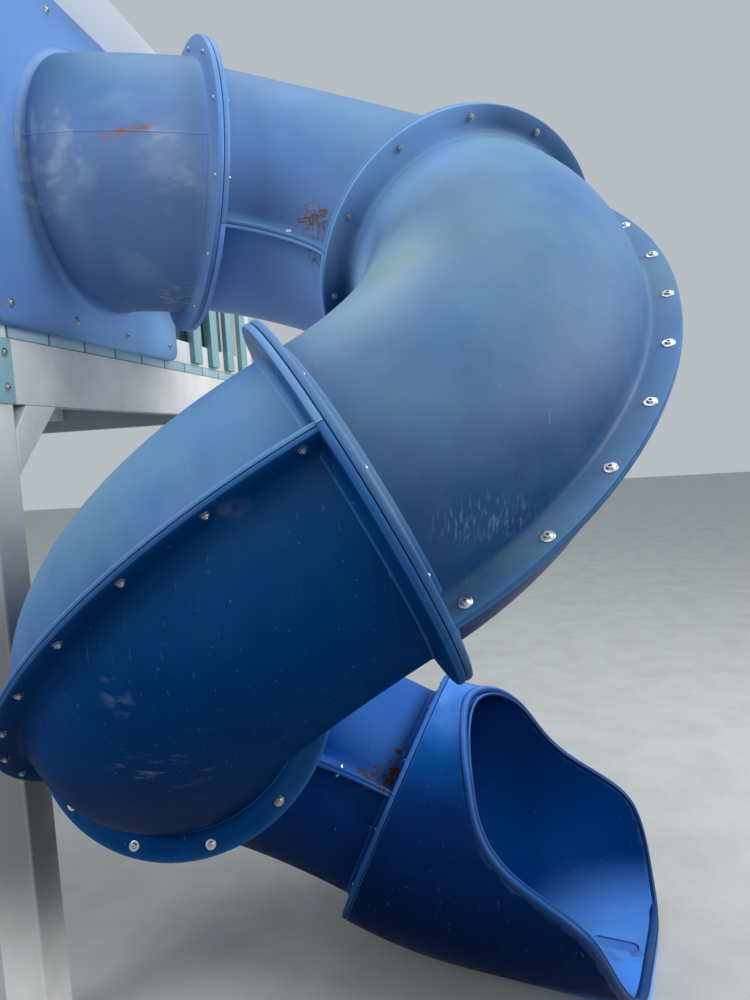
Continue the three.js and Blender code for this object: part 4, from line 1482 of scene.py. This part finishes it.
def ring_bolts(number, place):
    """The bolts of one ring: large heads on the fourth, nuts on the first two"""
    phase = FIRST_RING_PHASE if number == 1 else RING_PHASE
    head, metal = (head_model, STEEL) if number == 4 else (small_model, DULL_STEEL)
    heads = copies(head, ring_bolt_places(place, -1, phase))
    hand_over(heads, f"ring_{number}_bolts", metal)
    if number < 3:
        nuts = copies(nut_model, ring_bolt_places(place, 1, phase))
        hand_over(nuts, f"ring_{number}_nuts", DULL_STEEL)


def seam_bolts(number, ring):
    """The bolts and nuts along the two seams of one elbow"""
    heads = copies(head_model, seam_bolt_places(ring, 1))
    hand_over(heads, f"elbow_{number}_seam_bolts", STEEL)
    nuts = copies(nut_model, seam_bolt_places(ring, -1))
    hand_over(nuts, f"elbow_{number}_seam_nuts", DULL_STEEL)


def panel_bolts():
    """The bolts that hold the panel to the tower"""
    face = PANEL_THICKNESS + GAP
    places = [standing(wall_point(face, y, z), (1, 0, 0)) for y, z in PANEL_BOLTS]
    hand_over(copies(head_model, places), "panel_bolts", STEEL)


# Slide
entry_hood(HOOD_BLUE)
for number, ring in enumerate(LEAVING, 1):
    upper_blue, lower_blue = ELBOW_BLUES[number - 1]
    elbow_half(f"elbow_{number}_upper_half", ring, 1, upper_blue, f"elbow_{number}_upper")
    elbow_half(f"elbow_{number}_lower_half", ring, -1, lower_blue, f"elbow_{number}_lower")
exit_chute()

head_model = bolt_head()
small_model = small_head()
nut_model = bolt_nut()
screw_model = screw_head()
for number, place in enumerate(ARRIVING, 1):
    ring_bolts(number, place)
for number, ring in enumerate(LEAVING, 1):
    seam_bolts(number, ring)
panel_bolts()

# Tower
for side, x in (("front", -POST), ("back", BACK_FACE)):
    post(f"post_{side}_near", x, NEAR_FACE)
    post(f"post_{side}_far", x, FAR_FACE - POST)
sleeves("rim_beam", BEAM, ("front", "back", "near", "far"))
for number, x in enumerate(joist_lines(), 1):
    joist(number, x)
deck()
sleeves("low_rail", LOW_RAIL, ("front", "near", "far"))
sleeves("top_rail", TOP_RAIL, ("front", "near", "far"))
railings()
for side, face, way in (("front", -BRACE_THICKNESS, 1), ("back", BACK_FACE, -1)):
    brace(f"brace_{side}_near", face, NEAR_FACE + POST, 1)
    brace(f"brace_{side}_far", face, FAR_FACE - POST, -1)
    bracket(f"bracket_{side}_near", NEAR_FACE, way)
    bracket(f"bracket_{side}_far", FAR_FACE - POST - BRACKET_REACH, way)
ladder()
for model in (head_model, small_model, nut_model, screw_model):
    bpy.data.objects.remove(model)

# Floor, lights and camera
FLOOR_SIZE = 40
FLOOR_DROP = 0.001
SKY = (0.86, 0.93, 1.0)
SKY_STRENGTH = 0.55
COOL = (0.95, 0.98, 1.0)
WHITE = (1.0, 1.0, 1.0)
# Name, place, target, size, power, colour
LIGHTS = [
    ("overhead", (0.6, -0.6, 6.5), (1.0, -0.4, 1.2), 5.0, 170, COOL),
    ("left_front", (-2.5, -4.5, 4.2), (1.0, -0.5, 1.4), 2.5, 100, WHITE),
    ("right_front", (5.5, -1.0, 3.6), (0.5, 0.1, 1.7), 2.5, 190, WHITE),
]
CAMERA_PLACE = (1.1955, -2.0844, 1.5000)
CAMERA_TURN = (85.587, 3.694, 9.058)
CAMERA_LENS = 27.51


def soft_light(name, place, target, size, power, colour):
    """A square lamp turned to a target"""
    bpy.ops.object.light_add(type="AREA", location=place)
    light = bpy.context.object
    light.name = name
    light.data.size = size
    light.data.energy = power
    light.data.color = colour
    light.rotation_euler = (Vector(target) - Vector(place)).to_track_quat("-Z", "Y").to_euler()


bpy.ops.object.select_all(action="DESELECT")
bpy.ops.mesh.primitive_plane_add(size=FLOOR_SIZE, location=(0, 0, -FLOOR_DROP))
floor = bpy.context.object
floor.name = "floor"
floor.data.materials.append(FLOOR)

world = bpy.data.worlds.new("studio")
bpy.context.scene.world = world
world.use_nodes = True
background = world.node_tree.nodes["Background"]
background.inputs["Color"].default_value = (*SKY, 1)
background.inputs["Strength"].default_value = SKY_STRENGTH
for light in LIGHTS:
    soft_light(*light)

turn = [math.radians(angle) for angle in CAMERA_TURN]
bpy.ops.object.camera_add(location=wall_point(*CAMERA_PLACE), rotation=turn)
camera = bpy.context.object
camera.name = "camera"
camera.data.sensor_width = 36
camera.data.lens = CAMERA_LENS
camera.data.clip_start = 0.05
bpy.context.scene.camera = camera
bpy.context.scene.view_settings.view_transform = "Standard"
